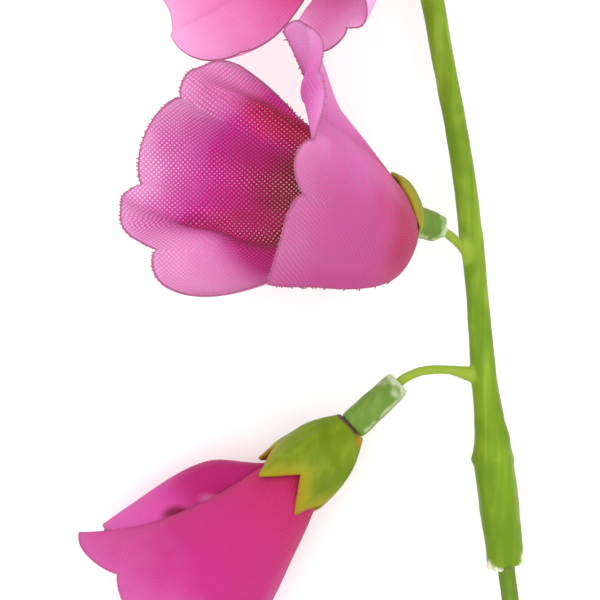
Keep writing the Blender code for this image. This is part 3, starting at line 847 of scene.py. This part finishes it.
def cup_point(name, turn, up):
    """A place on the cup, with a soft rib up each point and a hollow on each side of it."""
    stations = CALYXES[name]
    radius, height = calyx_profile(calyx_edge(stations, turn % 360), up)
    away = min(turn_between(turn, tip) for tip, _, top in stations if top > CALYX_POINT)
    free = smooth_step(1.5, 6.0, height)
    rib, rib_width = CUP_RIB
    hollow, hollow_turn, hollow_width = CUP_HOLLOW
    radius += free * (rib * hill(away, rib_width) - hollow * hill(away - hollow_turn, hollow_width))
    radius += CUP_UNEVEN * free * noise.noise(Vector((math.radians(turn) * 2.2, height * 0.35, len(name))))
    return round_axis(turn % 360, radius, height)


def make_cup(name):
    """The moulded cup, with its distance from the edge, its height and its side at each vertex."""
    turns = calyx_turns(CALYXES[name])
    columns = len(turns) - 1
    cup = bmesh.new()
    edge_layer = cup.verts.layers.float.new("edge")
    base_layer = cup.verts.layers.float.new("base")
    side_layer = cup.verts.layers.float.new("side")
    grid = grid_of(cup, columns, CALYX_ROWS)
    for vert, column, row in grid:
        vert.co = cup_point(name, turns[column], row / CALYX_ROWS)
    near = nearest_to([vert.co for vert, _, row in grid if row == CALYX_ROWS])
    for vert in cup.verts:
        vert[edge_layer] = near.find(vert.co)[2]
        vert[base_layer] = vert.co.z + OPEN_JOINT[name]
        vert[side_layer] = vert.co.x / vert.co.xy.length
    bmesh.ops.remove_doubles(cup, verts=cup.verts, dist=MERGE)
    face_outwards(cup)
    piece = finished(f"cup_{name}", cup, [PLASTIC["cup"]], flower_frame(FLOWERS[name]))
    thicken(piece, CALYX_THICKNESS)
    ride(piece, f"calyx_{name}")


def ride(piece, node):
    """The piece rides on the root body in the place of a CAD node."""
    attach(piece, "root")
    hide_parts(node)


def skin(columns, rows, place):
    """A round skin: place gives a point for a share of the way round and of the way along."""
    shape = bmesh.new()
    for vert, column, row in grid_of(shape, columns, rows):
        vert.co = place(column / columns, row / rows)
    bmesh.ops.remove_doubles(shape, verts=shape.verts, dist=MERGE)
    bmesh.ops.recalc_face_normals(shape, faces=shape.faces)
    return shape


def on_line(points, share):
    """A place on a line of points, by equal share of its length."""
    steps = [(Vector(b) - Vector(a)).length for a, b in zip(points, points[1:])]
    rest = share * sum(steps)
    for start, end, step in zip(points, points[1:], steps):
        if rest <= step or end is points[-1]:
            return Vector(start).lerp(Vector(end), min(1.0, rest / step))
        rest -= step


def tube_outline(name):
    """The tube's section as radius and height, from its bore at the cup to its bore at the stalk."""
    length = TUBE_LENGTHS[name]
    end = TUBE_START - length
    outer = smooth_path([
        (TUBE_BORE, TUBE_START), (TUBE_RADIUS - 0.3, TUBE_START), (TUBE_RADIUS - 0.02, TUBE_START - 0.3),
        (TUBE_RADIUS + 0.08, TUBE_START - 2.0), (TUBE_RADIUS, TUBE_START - length * 0.55),
        (TUBE_RADIUS - 0.05, end + 1.6), (TUBE_RADIUS - 0.3, end + 0.7), (TUBE_BORE + 0.5, end + 0.1),
        (TUBE_BORE, end),
    ], 4)
    return outer + [(TUBE_BORE, TUBE_START)]


def make_tube(name):
    """The pushed-on tube, with a parting seam on each side and torn flash at the stalk."""
    outline = tube_outline(name)
    end = TUBE_START - TUBE_LENGTHS[name]

    def place(around, length):
        radius, height = on_line(outline, length)
        if radius > TUBE_BORE + 0.2:
            seam = min(turn_between(360 * around, at) for at in SEAM_TURNS)
            radius += TUBE_SEAM_HEIGHT * hill(seam, 5.0)
            lumps = Vector((math.cos(around * math.tau), math.sin(around * math.tau), height * 0.28))
            radius += TUBE_UNEVEN * noise.noise(lumps * 1.3 + Vector((len(name), 0, 0)))
            torn = smooth_step(end + 1.9, end + 0.6, height)
            radius += TUBE_TORN * torn * noise.noise(lumps * 2.6 + Vector((7.0, 0, 0)))
        return round_axis(360 * around, radius, height)

    shape = skin(TURNED_COLUMNS, TUBE_ROWS, place)
    seam_layer = shape.verts.layers.float.new("seam")
    pale_layer = shape.verts.layers.float.new("pale")
    for vert in shape.verts:
        turn = math.degrees(math.atan2(vert.co.y, vert.co.x))
        uneven = noise.noise(vert.co * 0.9)
        seam = min(turn_between(turn, at + 9 * uneven) for at in SEAM_TURNS)
        vert[seam_layer] = hill(seam, 9.0) * smooth_step(-0.35, 0.15, uneven)
        vert[pale_layer] = smooth_step(end + 2.4, end + 0.3, vert.co.z + 1.6 * uneven)
    piece = finished(f"sleeve_{name}", shape, [PLASTIC["tube"]], flower_frame(FLOWERS[name]))
    ride(piece, f"tube_{name}")


def smooth_path(points, pieces):
    """Points on a smooth curve through the given ones, which may carry a radius too."""
    ends = [points[0]] + list(points) + [points[-1]]
    path = []
    for before, start, end, after in zip(ends, ends[1:], ends[2:], ends[3:]):
        for step in range(pieces):
            t = step / pieces
            path.append(tuple(
                0.5 * (2 * s + (e - b) * t + (2 * b - 5 * s + 4 * e - a) * t * t
                       + (3 * s - b - 3 * e + a) * t ** 3)
                for b, s, e, a in zip(before, start, end, after)))
    return path + [tuple(points[-1])]


def swept(name, points, radius=1.0):
    """A round bar's mesh along a path whose points are x, y, z and, if given, a radius."""
    curve = bpy.data.curves.new(name, "CURVE")
    curve.dimensions = "3D"
    curve.bevel_depth = radius
    curve.bevel_resolution = 8
    curve.use_fill_caps = True
    spline = curve.splines.new("POLY")
    spline.points.add(len(points) - 1)
    for target, point in zip(spline.points, points):
        target.co = (*point[:3], 1)
        target.radius = point[3] if len(point) > 3 else 1.0
    return mesh_of(placed(name, curve))


def mesh_of(obj):
    """The mesh that an object shows. The object is removed."""
    bpy.context.view_layer.update()
    graph = bpy.context.evaluated_depsgraph_get()
    mesh = bpy.data.meshes.new_from_object(obj.evaluated_get(graph), depsgraph=graph)
    bpy.data.objects.remove(obj)
    return mesh


def stalk_path(name):
    """From inside the stem, over the stalk's own points, into the tube's bore."""
    flower = FLOWERS[name]
    foot, mouth = Vector(flower["foot"]), Vector(flower["mouth"]).normalized()
    tube_end = foot + mouth * (TUBE_START - TUBE_LENGTHS[name])
    inside = tube_end + mouth * STALK_IN_TUBE
    path = [Vector(point) for point in flower["stalk"]] + [tube_end, inside]
    radii = [STALK_FOOT_RADIUS] + [STALK_RADIUS] * (len(path) - 1)
    return smooth_path([(*point, radius) for point, radius in zip(path, radii)], 6)


def stem_relief(point):
    """How far the stem's skin stands out: ridges along it, soft lumps and a torn mouth."""
    sleeve = smooth_step(-17.0, -24.0, point.y)
    torn = smooth_step(-38.8, -39.8, point.y)
    return (relief(point, *STEM_RIDGES) + relief(point, *STEM_SWELLS)
            + sleeve * relief(point, *SLEEVE_BUMPS) + torn * relief(point, *TORN_MOUTH))


def fused_stem():
    """The stem, its stalks and its lumps as one smooth skin."""
    bars = bmesh.new()
    meshes = [swept("bar", smooth_path(STEM, 6) + smooth_path(SLEEVE, 4))]
    meshes += [swept("stalk", stalk_path(name)) for name in FLOWERS]
    for mesh in meshes:
        bars.from_mesh(mesh)
        bpy.data.meshes.remove(mesh)
    for centre, radius, stretch in STEM_LUMPS + STEM_FLASH:
        place = Matrix.Translation(Vector(centre)) @ Matrix.Diagonal((*stretch, 1))
        bmesh.ops.create_icosphere(bars, subdivisions=3, radius=radius, matrix=place)
    mesh = bpy.data.meshes.new("bars")
    bars.to_mesh(mesh)
    bars.free()
    fused = placed("fused", mesh)
    remesh = fused.modifiers.new("fuse", "REMESH")
    remesh.mode = "VOXEL"
    remesh.voxel_size = VOXEL
    soften = fused.modifiers.new("soften", "SMOOTH")
    soften.factor = 0.5
    soften.iterations = 5
    return mesh_of(fused)


def in_sleeve(depth):
    """The place on the sleeve's middle line at a depth behind its mouth."""
    mouth = Vector(SLEEVE[-1][:3])
    return tuple(mouth + (Vector(LOWER_STEM[0]) - mouth).normalized() * depth)


def lower_path():
    """The coated rod's middle line, from inside the sleeve to the cut."""
    return smooth_path([in_sleeve(PLUG_DEPTH)] + LOWER_STEM[1:], 12)


def with_socket(mesh):
    """The stem's mesh with the rod's socket cut into its sleeve."""
    socket = swept("socket", [in_sleeve(SOCKET_DEPTH), in_sleeve(-3.0)], SOCKET_RADIUS)
    tool = placed("socket", socket)
    stem = placed("stem", mesh)
    cut = stem.modifiers.new("socket", "BOOLEAN")
    cut.operation = "DIFFERENCE"
    cut.solver = "EXACT"
    cut.object = tool
    result = mesh_of(stem)
    bpy.data.objects.remove(tool)
    return result


def make_stem():
    """The moulded stem with its stalks, roughened, with torn pale flash at its sleeve."""
    stem = bmesh.new()
    stem.from_mesh(fused_stem())
    stem.normal_update()
    for vert in stem.verts:
        vert.co += vert.normal * (stem_relief(vert.co) + SKIN_SWELL)
    mesh = bpy.data.meshes.new("rough")
    stem.to_mesh(mesh)
    stem.free()
    stem = bmesh.new()
    stem.from_mesh(with_socket(mesh))
    pale_layer = stem.verts.layers.float.new("pale")
    stalk_layer = stem.verts.layers.float.new("stalk")
    stalks = nearest_to([point[:3] for name in FLOWERS for point in stalk_path(name)[STALK_ROOT_POINTS:]])
    for vert in stem.verts:
        near = min((vert.co - Vector(centre)).length - radius for centre, radius, _ in STEM_FLASH)
        vert[pale_layer] = smooth_step(0.75, 0.1, near)
        vert[stalk_layer] = smooth_step(2.0, 1.1, stalks.find(vert.co)[2])
    piece = finished("moulded_stem", stem, [PLASTIC["stem"]])
    ride(piece, "spray_stem")


def make_rod():
    """The coated rod below the sleeve, cut off square, with a bore for its wire."""
    path = lower_path()
    bore = WIRE_RADIUS + 0.03
    rounded = LOWER_STEM_RADIUS - 0.12
    outline = [(bore, 0.0), (rounded, 0.0), (LOWER_STEM_RADIUS, 0.0015)]
    outline += [(LOWER_STEM_RADIUS, step / ROD_RINGS) for step in range(1, ROD_RINGS)]
    outline += [(LOWER_STEM_RADIUS, 0.9985), (rounded, 1.0), (bore, 1.0)]
    outline += [(bore, 1 - step / ROD_RINGS) for step in range(1, ROD_RINGS + 1)]

    def place(around, length):
        radius, share = outline[round(length * (len(outline) - 1))]
        point = on_line(path, share)
        ahead = (on_line(path, min(1.0, share + 0.01)) - on_line(path, max(0.0, share - 0.01))).normalized()
        side = Vector((0, 0, 1)).cross(ahead).normalized()
        up = ahead.cross(side)
        angle = around * math.tau
        if radius > bore:
            uneven = Vector((math.cos(angle), math.sin(angle), point.y * 0.12))
            radius += 0.05 * noise.noise(uneven) + 0.02 * noise.noise(uneven * 3.1)
        return point + radius * (side * math.cos(angle) + up * math.sin(angle))

    shape = skin(ROD_COLUMNS, len(outline) - 1, place)
    piece = finished("coated_rod", shape, [PLASTIC["rod"]])
    ride(piece, "lower_stem")


def add(tree, kind, values=(), **settings):
    """A shader node, with its settings, and with values or sockets put into its inputs."""
    node = tree.nodes.new(kind if kind.startswith("Node") else "ShaderNode" + kind)
    for name, value in settings.items():
        setattr(node, name, value)
    for socket, value in dict(values).items():
        if isinstance(value, bpy.types.NodeSocket):
            tree.links.new(value, node.inputs[socket])
        else:
            node.inputs[socket].default_value = value
    return node


def calc(tree, operation, *values):
    return add(tree, "Math", dict(enumerate(values)), operation=operation).outputs[0]


def vector_calc(tree, operation, values):
    return add(tree, "VectorMath", values, operation=operation).outputs[0]


def uv_place(tree, layer):
    return add(tree, "UVMap", uv_map=layer).outputs[0]


def noise_fac(tree, place, scale, detail):
    """A soft random number at each place."""
    return add(tree, "TexNoise", {"Vector": place, "Scale": scale, "Detail": detail}).outputs["Fac"]


def put_relief(tree, shader, height, strength, distance):
    """Let the light fall as if the surface stood out by a height, with no change of its shape."""
    bump = add(tree, "Bump", {"Height": height, "Strength": strength, "Distance": distance})
    link(tree, bump.outputs[0], shader.inputs["Normal"])


def ramp_between(tree, value, low, high, start=0.0, end=1.0):
    """A number that goes smoothly from start to end as the value goes from low to high."""
    values = {"Value": value, "From Min": low, "From Max": high, "To Min": start, "To Max": end}
    return add(tree, "MapRange", values, interpolation_type="SMOOTHSTEP").outputs[0]


def mix_colours(tree, share, first, second, kind="MIX"):
    node = add(tree, "Mix", {0: share, 6: first, 7: second}, data_type="RGBA", blend_type=kind)
    return node.outputs[2]


def colour_ramp(tree, value, stops):
    """Colours along a value: stops are (place, colour)."""
    node = add(tree, "ValToRGB", {0: value})
    elements = node.color_ramp.elements
    while len(elements) < len(stops):
        elements.new(0.5)
    for element, (place, shade) in zip(elements, stops):
        element.position = place
        element.color = colour(shade)
    return node.outputs[0]


def colour(shade):
    """A scene colour from the six digits of a screen colour."""
    parts = [int(shade[at:at + 2], 16) / 255 for at in (0, 2, 4)]
    return (*[p / 12.92 if p <= 0.04045 else ((p + 0.055) / 1.055) ** 2.4 for p in parts], 1.0)


def new_group(name, inputs, outputs):
    """An empty shader node group with its input and output nodes."""
    group = bpy.data.node_groups.new(name, "ShaderNodeTree")
    for title, kind in inputs:
        group.interface.new_socket(title, in_out="INPUT", socket_type="NodeSocket" + kind)
    for title, kind in outputs:
        group.interface.new_socket(title, in_out="OUTPUT", socket_type="NodeSocket" + kind)
    return group, add(group, "NodeGroupInput").outputs, add(group, "NodeGroupOutput").inputs


def place_group(tree, group, values):
    return add(tree, "Group", values, node_tree=group).outputs


def thread_cover(tree, across, share):
    """1 on a thread and 0 in the gap beside it, from the distance to its middle line."""
    half = calc(tree, "MULTIPLY", share, 0.5)
    low = calc(tree, "SUBTRACT", half, 0.06)
    high = calc(tree, "ADD", half, 0.06)
    return ramp_between(tree, across, low, high, 1.0, 0.0)


def weave_group():
    """A plain weave on flat places in mm: where threads cover, and how high they stand."""
    group, given, out = new_group(
        "plain weave",
        [("Flat Place", "Vector"), ("Pitch", "Float"), ("Turn", "Float"),
         ("Warp Share", "Float"), ("Weft Share", "Float"), ("Wander", "Float")],
        [("Cover", "Float"), ("Height", "Float"), ("Pore", "Float")])
    drift = add(group, "TexNoise", {"Vector": given["Flat Place"], "Scale": 0.16, "Detail": 1.0})
    centred = vector_calc(group, "SUBTRACT", {0: drift.outputs["Color"], 1: (0.5, 0.5, 0.5)})
    moved = vector_calc(group, "SCALE", {0: centred, "Scale": given["Wander"]})
    place = vector_calc(group, "ADD", {0: given["Flat Place"], 1: moved})
    turned = add(group, "VectorRotate", {"Vector": place, "Angle": given["Turn"]}, rotation_type="Z_AXIS")
    per_mm = calc(group, "DIVIDE", 1.0, given["Pitch"])
    ruled = vector_calc(group, "SCALE", {0: turned.outputs[0], "Scale": per_mm})
    parts = add(group, "SeparateXYZ", {0: ruled}).outputs
    covers, arches, waves, gaps = [], [], [], []
    for this, other, share in ((0, 1, "Warp Share"), (1, 0, "Weft Share")):
        across = calc(group, "ABSOLUTE", calc(group, "SUBTRACT", calc(group, "FRACT", parts[this]), 0.5))
        covers.append(thread_cover(group, across, given[share]))
        gaps.append(across)
        arches.append(calc(group, "COSINE", calc(group, "MULTIPLY", across, 2.6)))
        number = calc(group, "ADD", calc(group, "FLOOR", parts[this]), float(this))
        turn = calc(group, "MULTIPLY", calc(group, "ADD", number, parts[other]), math.pi)
        waves.append(calc(group, "SINE", turn))
    heights = []
    for cover, arch, wave in zip(covers, arches, waves):
        lift = calc(group, "MULTIPLY_ADD", wave, 0.3, 0.7)
        heights.append(calc(group, "MULTIPLY", calc(group, "MULTIPLY", cover, arch), lift))
    link(group, ramp_between(group, calc(group, "MINIMUM", *gaps), 0.14, 0.4), out["Pore"])
    link(group, calc(group, "MAXIMUM", *covers), out["Cover"])
    link(group, calc(group, "MAXIMUM", *heights), out["Height"])
    return group


def moulding_group():
    """Long soft streaks along Y and a fine grain, as flow marks in moulded plastic have."""
    group, given, out = new_group(
        "flow marks", [("Place", "Vector"), ("Stretch", "Float")],
        [("Streak", "Float"), ("Patch", "Float"), ("Grain", "Float")])
    sizes = add(group, "CombineXYZ", {0: 1.0, 1: given["Stretch"], 2: 1.0})
    drawn = vector_calc(group, "MULTIPLY", {0: given["Place"], 1: sizes.outputs[0]})
    link(group, noise_fac(group, drawn, 620.0, 3.0), out["Streak"])
    link(group, noise_fac(group, given["Place"], 130.0, 2.0), out["Patch"])
    link(group, noise_fac(group, given["Place"], 2600.0, 2.0), out["Grain"])
    return group


def new_material(name, roughness, **fixed):
    """A material with only its shader, whose constant values are set on its own sockets."""
    material = bpy.data.materials.new(name)
    material.use_nodes = True
    shader = material.node_tree.nodes["Principled BSDF"]
    shader.inputs["Roughness"].default_value = roughness
    for title, value in fixed.items():
        shader.inputs[title.replace("_", " ")].default_value = value
    return material, material.node_tree, shader


def link(tree, output, socket):
    tree.links.new(output, socket)


def with_dye_and_shade_spots(tree, dye_and_shade, spots):
    """Lay soft round spots of another colour, dye and painted shade, on the petal, each over the ones
    before.
    """
    for spot, size, strength, shade in spots:
        off = vector_calc(tree, "SUBTRACT", {0: uv_place(tree, "petal"), 1: (*spot, 0.0)})
        scaled = vector_calc(tree, "MULTIPLY", {0: off, 1: (1 / size[0], 1 / size[1], 0.0)})
        far = add(tree, "VectorMath", {0: scaled}, operation="LENGTH").outputs["Value"]
        dye_and_shade = mix_colours(tree, ramp_between(tree, far, 0.3, 1.0, strength, 0.0), dye_and_shade, colour(shade))
    return dye_and_shade


def pore_light_share(tree, pore, up, pore_light):
    """How strongly the painted light in the pores shows: less below the petal's middle and in a band above
    it.
    """
    rise, fall = ramp_between(tree, up, 0.5, 0.64), ramp_between(tree, up, 0.94, 0.8, 0.0, 0.72)
    band = calc(tree, "MULTIPLY", rise, fall)
    strength = calc(tree, "MULTIPLY", pore, ramp_between(tree, up, 0.45, 0.9, 0.55 * pore_light, pore_light))
    return calc(tree, "MULTIPLY", strength, calc(tree, "SUBTRACT", 1.0, band))


def cloth_material(name, weave, threads, stops):
    """Woven cloth with open pores, painted light in its pores and painted shade in the hollows between
    threads. Its colour goes from the foot to the edge as stops say: dye, and painted shade deep in the
    throat.
    """
    turn, warp, weft, painted_hollow_shade, pore_light, cut_strength = threads
    material, tree, shader = new_material(name, 0.85, Specular_IOR_Level=0.2, Sheen_Weight=0.06,
                                          Sheen_Roughness=0.5)
    flat = uv_place(tree, "flat")
    up = add(tree, "SeparateXYZ", {0: uv_place(tree, "petal")}).outputs[1]
    weaving = place_group(tree, weave, {
        "Flat Place": flat, "Pitch": THREAD_PITCH, "Turn": math.radians(turn),
        "Warp Share": warp, "Weft Share": weft, "Wander": THREAD_WANDER})
    shift = calc(tree, "MULTIPLY_ADD", noise_fac(tree, flat, 0.12, 2.0), 0.22, -0.11)
    # Painted shade: the inside ramps grow dark towards the foot, deep in the throat.
    dye_and_shade = colour_ramp(tree, calc(tree, "ADD", up, shift), stops)
    dye_and_shade = with_dye_and_shade_spots(tree, dye_and_shade, DYE_AND_SHADE_SPOTS.get(name, []))
    # Painted shade: the hollows between the threads are darkened by how deep they lie.
    hollow = ramp_between(tree, weaving["Height"], 0.1, 0.8, painted_hollow_shade, 1.0)
    hollow_shade_grey = add(tree, "CombineColor", {0: hollow, 1: hollow, 2: hollow}).outputs[0]
    toned = mix_colours(tree, 1.0, dye_and_shade, hollow_shade_grey, "MULTIPLY")
    # Painted light: the pores are tinted pale, as if light shone through them.
    toned = mix_colours(tree, pore_light_share(tree, weaving["Pore"], up, pore_light), toned, colour(PORE_LIGHT_COLOUR))
    cut = ramp_between(tree, piece_value(tree, "edge"), 0.05, 0.5, cut_strength, 0.0)
    link(tree, mix_colours(tree, cut, toned, colour(CUT_COLOUR)), shader.inputs["Base Color"])
    link(tree, weaving["Cover"], shader.inputs["Alpha"])
    put_relief(tree, shader, weaving["Height"], 0.5, 0.00012)
    return material


def thread_material(name, stops):
    """Loose thread ends, dyed as the cloth beside them."""
    material, tree, shader = new_material(name, 0.8, Sheen_Weight=0.2)
    up = add(tree, "SeparateXYZ", {0: uv_place(tree, "petal")}).outputs[1]
    speck = noise_fac(tree, object_place(tree), 1800.0, 2.0)
    share = ramp_between(tree, speck, 0.35, 0.7, 0.25, 0.85)
    toned = mix_colours(tree, share, colour_ramp(tree, up, stops), colour(CUT_COLOUR))
    link(tree, toned, shader.inputs["Base Color"])
    put_relief(tree, shader, speck, 0.3, 0.00005)
    return material


def plastic_material(name, moulding, shades, stretch, roughness):
    """Moulded plastic: three shades by its streaks and patches, a faint grain and a paler rim of painted
    sheen where the surface turns away from view.
    """
    material, tree, shader = new_material(f"{name} plastic", roughness, Specular_IOR_Level=0.18)
    marks = place_group(tree, moulding, {"Place": object_place(tree), "Stretch": stretch})
    dark, middle, light, rim = [colour(shade) for shade in shades]
    base = mix_colours(tree, ramp_between(tree, marks["Streak"], 0.42, 0.62, 0.0, 0.8), middle, light)
    base = mix_colours(tree, ramp_between(tree, marks["Patch"], 0.62, 0.38, 0.0, 0.7), base, dark)
    # Painted sheen: paler towards the rim where the surface turns away from view.
    facing = add(tree, "LayerWeight", {"Blend": 0.35}).outputs["Facing"]
    base = mix_colours(tree, ramp_between(tree, facing, 0.35, 0.9, 0.0, 0.6), base, rim)
    if name == "cup":
        base = cup_shades(tree, base, marks["Patch"])
    for mark, strength, shade in PLASTIC_MARKS.get(name, []):
        share = calc(tree, "MULTIPLY", piece_value(tree, mark), strength)
        base = mix_colours(tree, share, base, colour(shade))
    link(tree, base, shader.inputs["Base Color"])
    rough = ramp_between(tree, marks["Patch"], 0.3, 0.7, roughness + 0.08, roughness - 0.06)
    link(tree, rough, shader.inputs["Roughness"])
    height = calc(tree, "MULTIPLY_ADD", marks["Grain"], 0.4, marks["Streak"])
    put_relief(tree, shader, height, 0.2, 0.0001)
    return material


def object_place(tree):
    return add(tree, "TexCoord").outputs["Object"]


def piece_value(tree, name):
    """A value that the piece's own mesh carries at each vertex."""
    return add(tree, "Attribute", attribute_name=name).outputs["Fac"]


def cup_shades(tree, base, patch):
    """Yellow and orange along the cup's cut edge, and a dark joint with an orange end at the tube."""
    uneven = calc(tree, "MULTIPLY_ADD", patch, 3.2, -1.6)
    far = calc(tree, "ADD", piece_value(tree, "edge"), uneven)
    base = mix_colours(tree, ramp_between(tree, far, 2.8, 0.2, 0.0, 0.8), base, colour("948a0c"))
    base = mix_colours(tree, ramp_between(tree, far, 0.6, -0.4, 0.0, 0.55), base, colour("a0681a"))
    height = calc(tree, "MULTIPLY_ADD", uneven, 0.25, piece_value(tree, "base"))
    side = piece_value(tree, "side")
    low, right = ramp_between(tree, height, 2.2, 0.7), ramp_between(tree, side, 0.35, 0.8)
    orange = calc(tree, "MULTIPLY", calc(tree, "MULTIPLY", low, right), 0.6)
    base = mix_colours(tree, orange, base, colour("b5761c"))
    low, left = ramp_between(tree, height, 0.95, 0.45), ramp_between(tree, side, 0.75, 0.3)
    return mix_colours(tree, calc(tree, "MULTIPLY", low, left), base, colour("4d2f2c"))


def steel_material():
    """Steel with fine lines along the wire, as drawing it leaves them."""
    material, tree, shader = new_material("drawn steel", 0.35, Metallic=1.0)
    stretched = add(tree, "Mapping", {"Vector": object_place(tree), "Scale": (1.0, 0.05, 1.0)})
    lines = noise_fac(tree, stretched.outputs[0], 9000.0, 3.0)
    link(tree, colour_ramp(tree, lines, [(0.3, "6d6a66"), (0.7, "a5a4a2")]), shader.inputs["Base Color"])
    put_relief(tree, shader, lines, 0.3, 0.00003)
    return material


def make_looks():
    """Fill CLOTH and PLASTIC with the materials of the cloth and of the moulded parts."""
    weave, moulding = weave_group(), moulding_group()
    for (name, index), threads in THREADS.items():
        for side, stops in DYE_AND_SHADE_RAMPS[name].items():
            CLOTH[name, index, side] = cloth_material(f"cloth {name} {index} {side}", weave, threads, stops)
    CLOTH["cut"] = thread_material("cut edge", EDGE_DYE)
    CLOTH["thread"] = thread_material("loose thread", EDGE_DYE)
    for name, (shades, stretch, roughness) in PLASTICS.items():
        PLASTIC[name] = plastic_material(name, moulding, shades, stretch, roughness)
    PLASTIC["wire"] = steel_material()


def dress_cad_nodes():
    """The pins and the wire keep their CAD shape and get a finish."""
    for name, look in [("wire_core", "wire")] + [(f"pin_{flower}", "pin") for flower in FLOWERS]:
        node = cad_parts[name]
        node.data.materials.clear()
        node.data.materials.append(PLASTIC[look])


def make_stage():
    """A pale floor, two wide lamps above and a bright surround."""
    ground = bmesh.new()
    bmesh.ops.create_grid(ground, x_segments=1, y_segments=1, size=FLOOR_SIZE)
    material = new_material("pale floor", 0.9, Specular_IOR_Level=0.1, Base_Color=FLOOR_COLOUR)[0]
    floor = finished("floor", ground, [material])
    world = bpy.data.worlds.new("studio")
    world.use_nodes = True
    world.node_tree.nodes["Background"].inputs[0].default_value = (1, 1, 1, 1)
    world.node_tree.nodes["Background"].inputs[1].default_value = SURROUND_STRENGTH
    bpy.context.scene.world = world
    for name, place, size, power in LIGHTS:
        lamp = bpy.data.lights.new(name, "AREA")
        lamp.size = size
        lamp.energy = power
        source = placed(name, lamp)
        source.location = place
        source.rotation_euler = (-Vector(place)).to_track_quat("-Z", "Y").to_euler()
    bpy.context.scene.view_settings.view_transform = "Standard"


def make_camera():
    """Straight above the photograph's middle, looking down, with the stem's tip up."""
    camera = bpy.data.cameras.new("camera")
    camera.sensor_width = 36.0
    camera.lens = camera.sensor_width * CAMERA_ABOVE_STEM / VIEW_WIDTH
    camera.clip_start = 0.01
    camera.clip_end = 20.0
    viewer = placed("camera", camera)
    viewer.location = (Vector((0, 0, STEM_LEVEL + CAMERA_ABOVE_STEM)) - BOX_MIDDLE) * MM
    bpy.context.scene.camera = viewer


def main():
    make_camera()
    make_stage()
    make_looks()
    for name in FLOWERS:
        make_cup(name)
        make_tube(name)
        make_bell(name)
    make_stem()
    make_rod()
    dress_cad_nodes()


main()
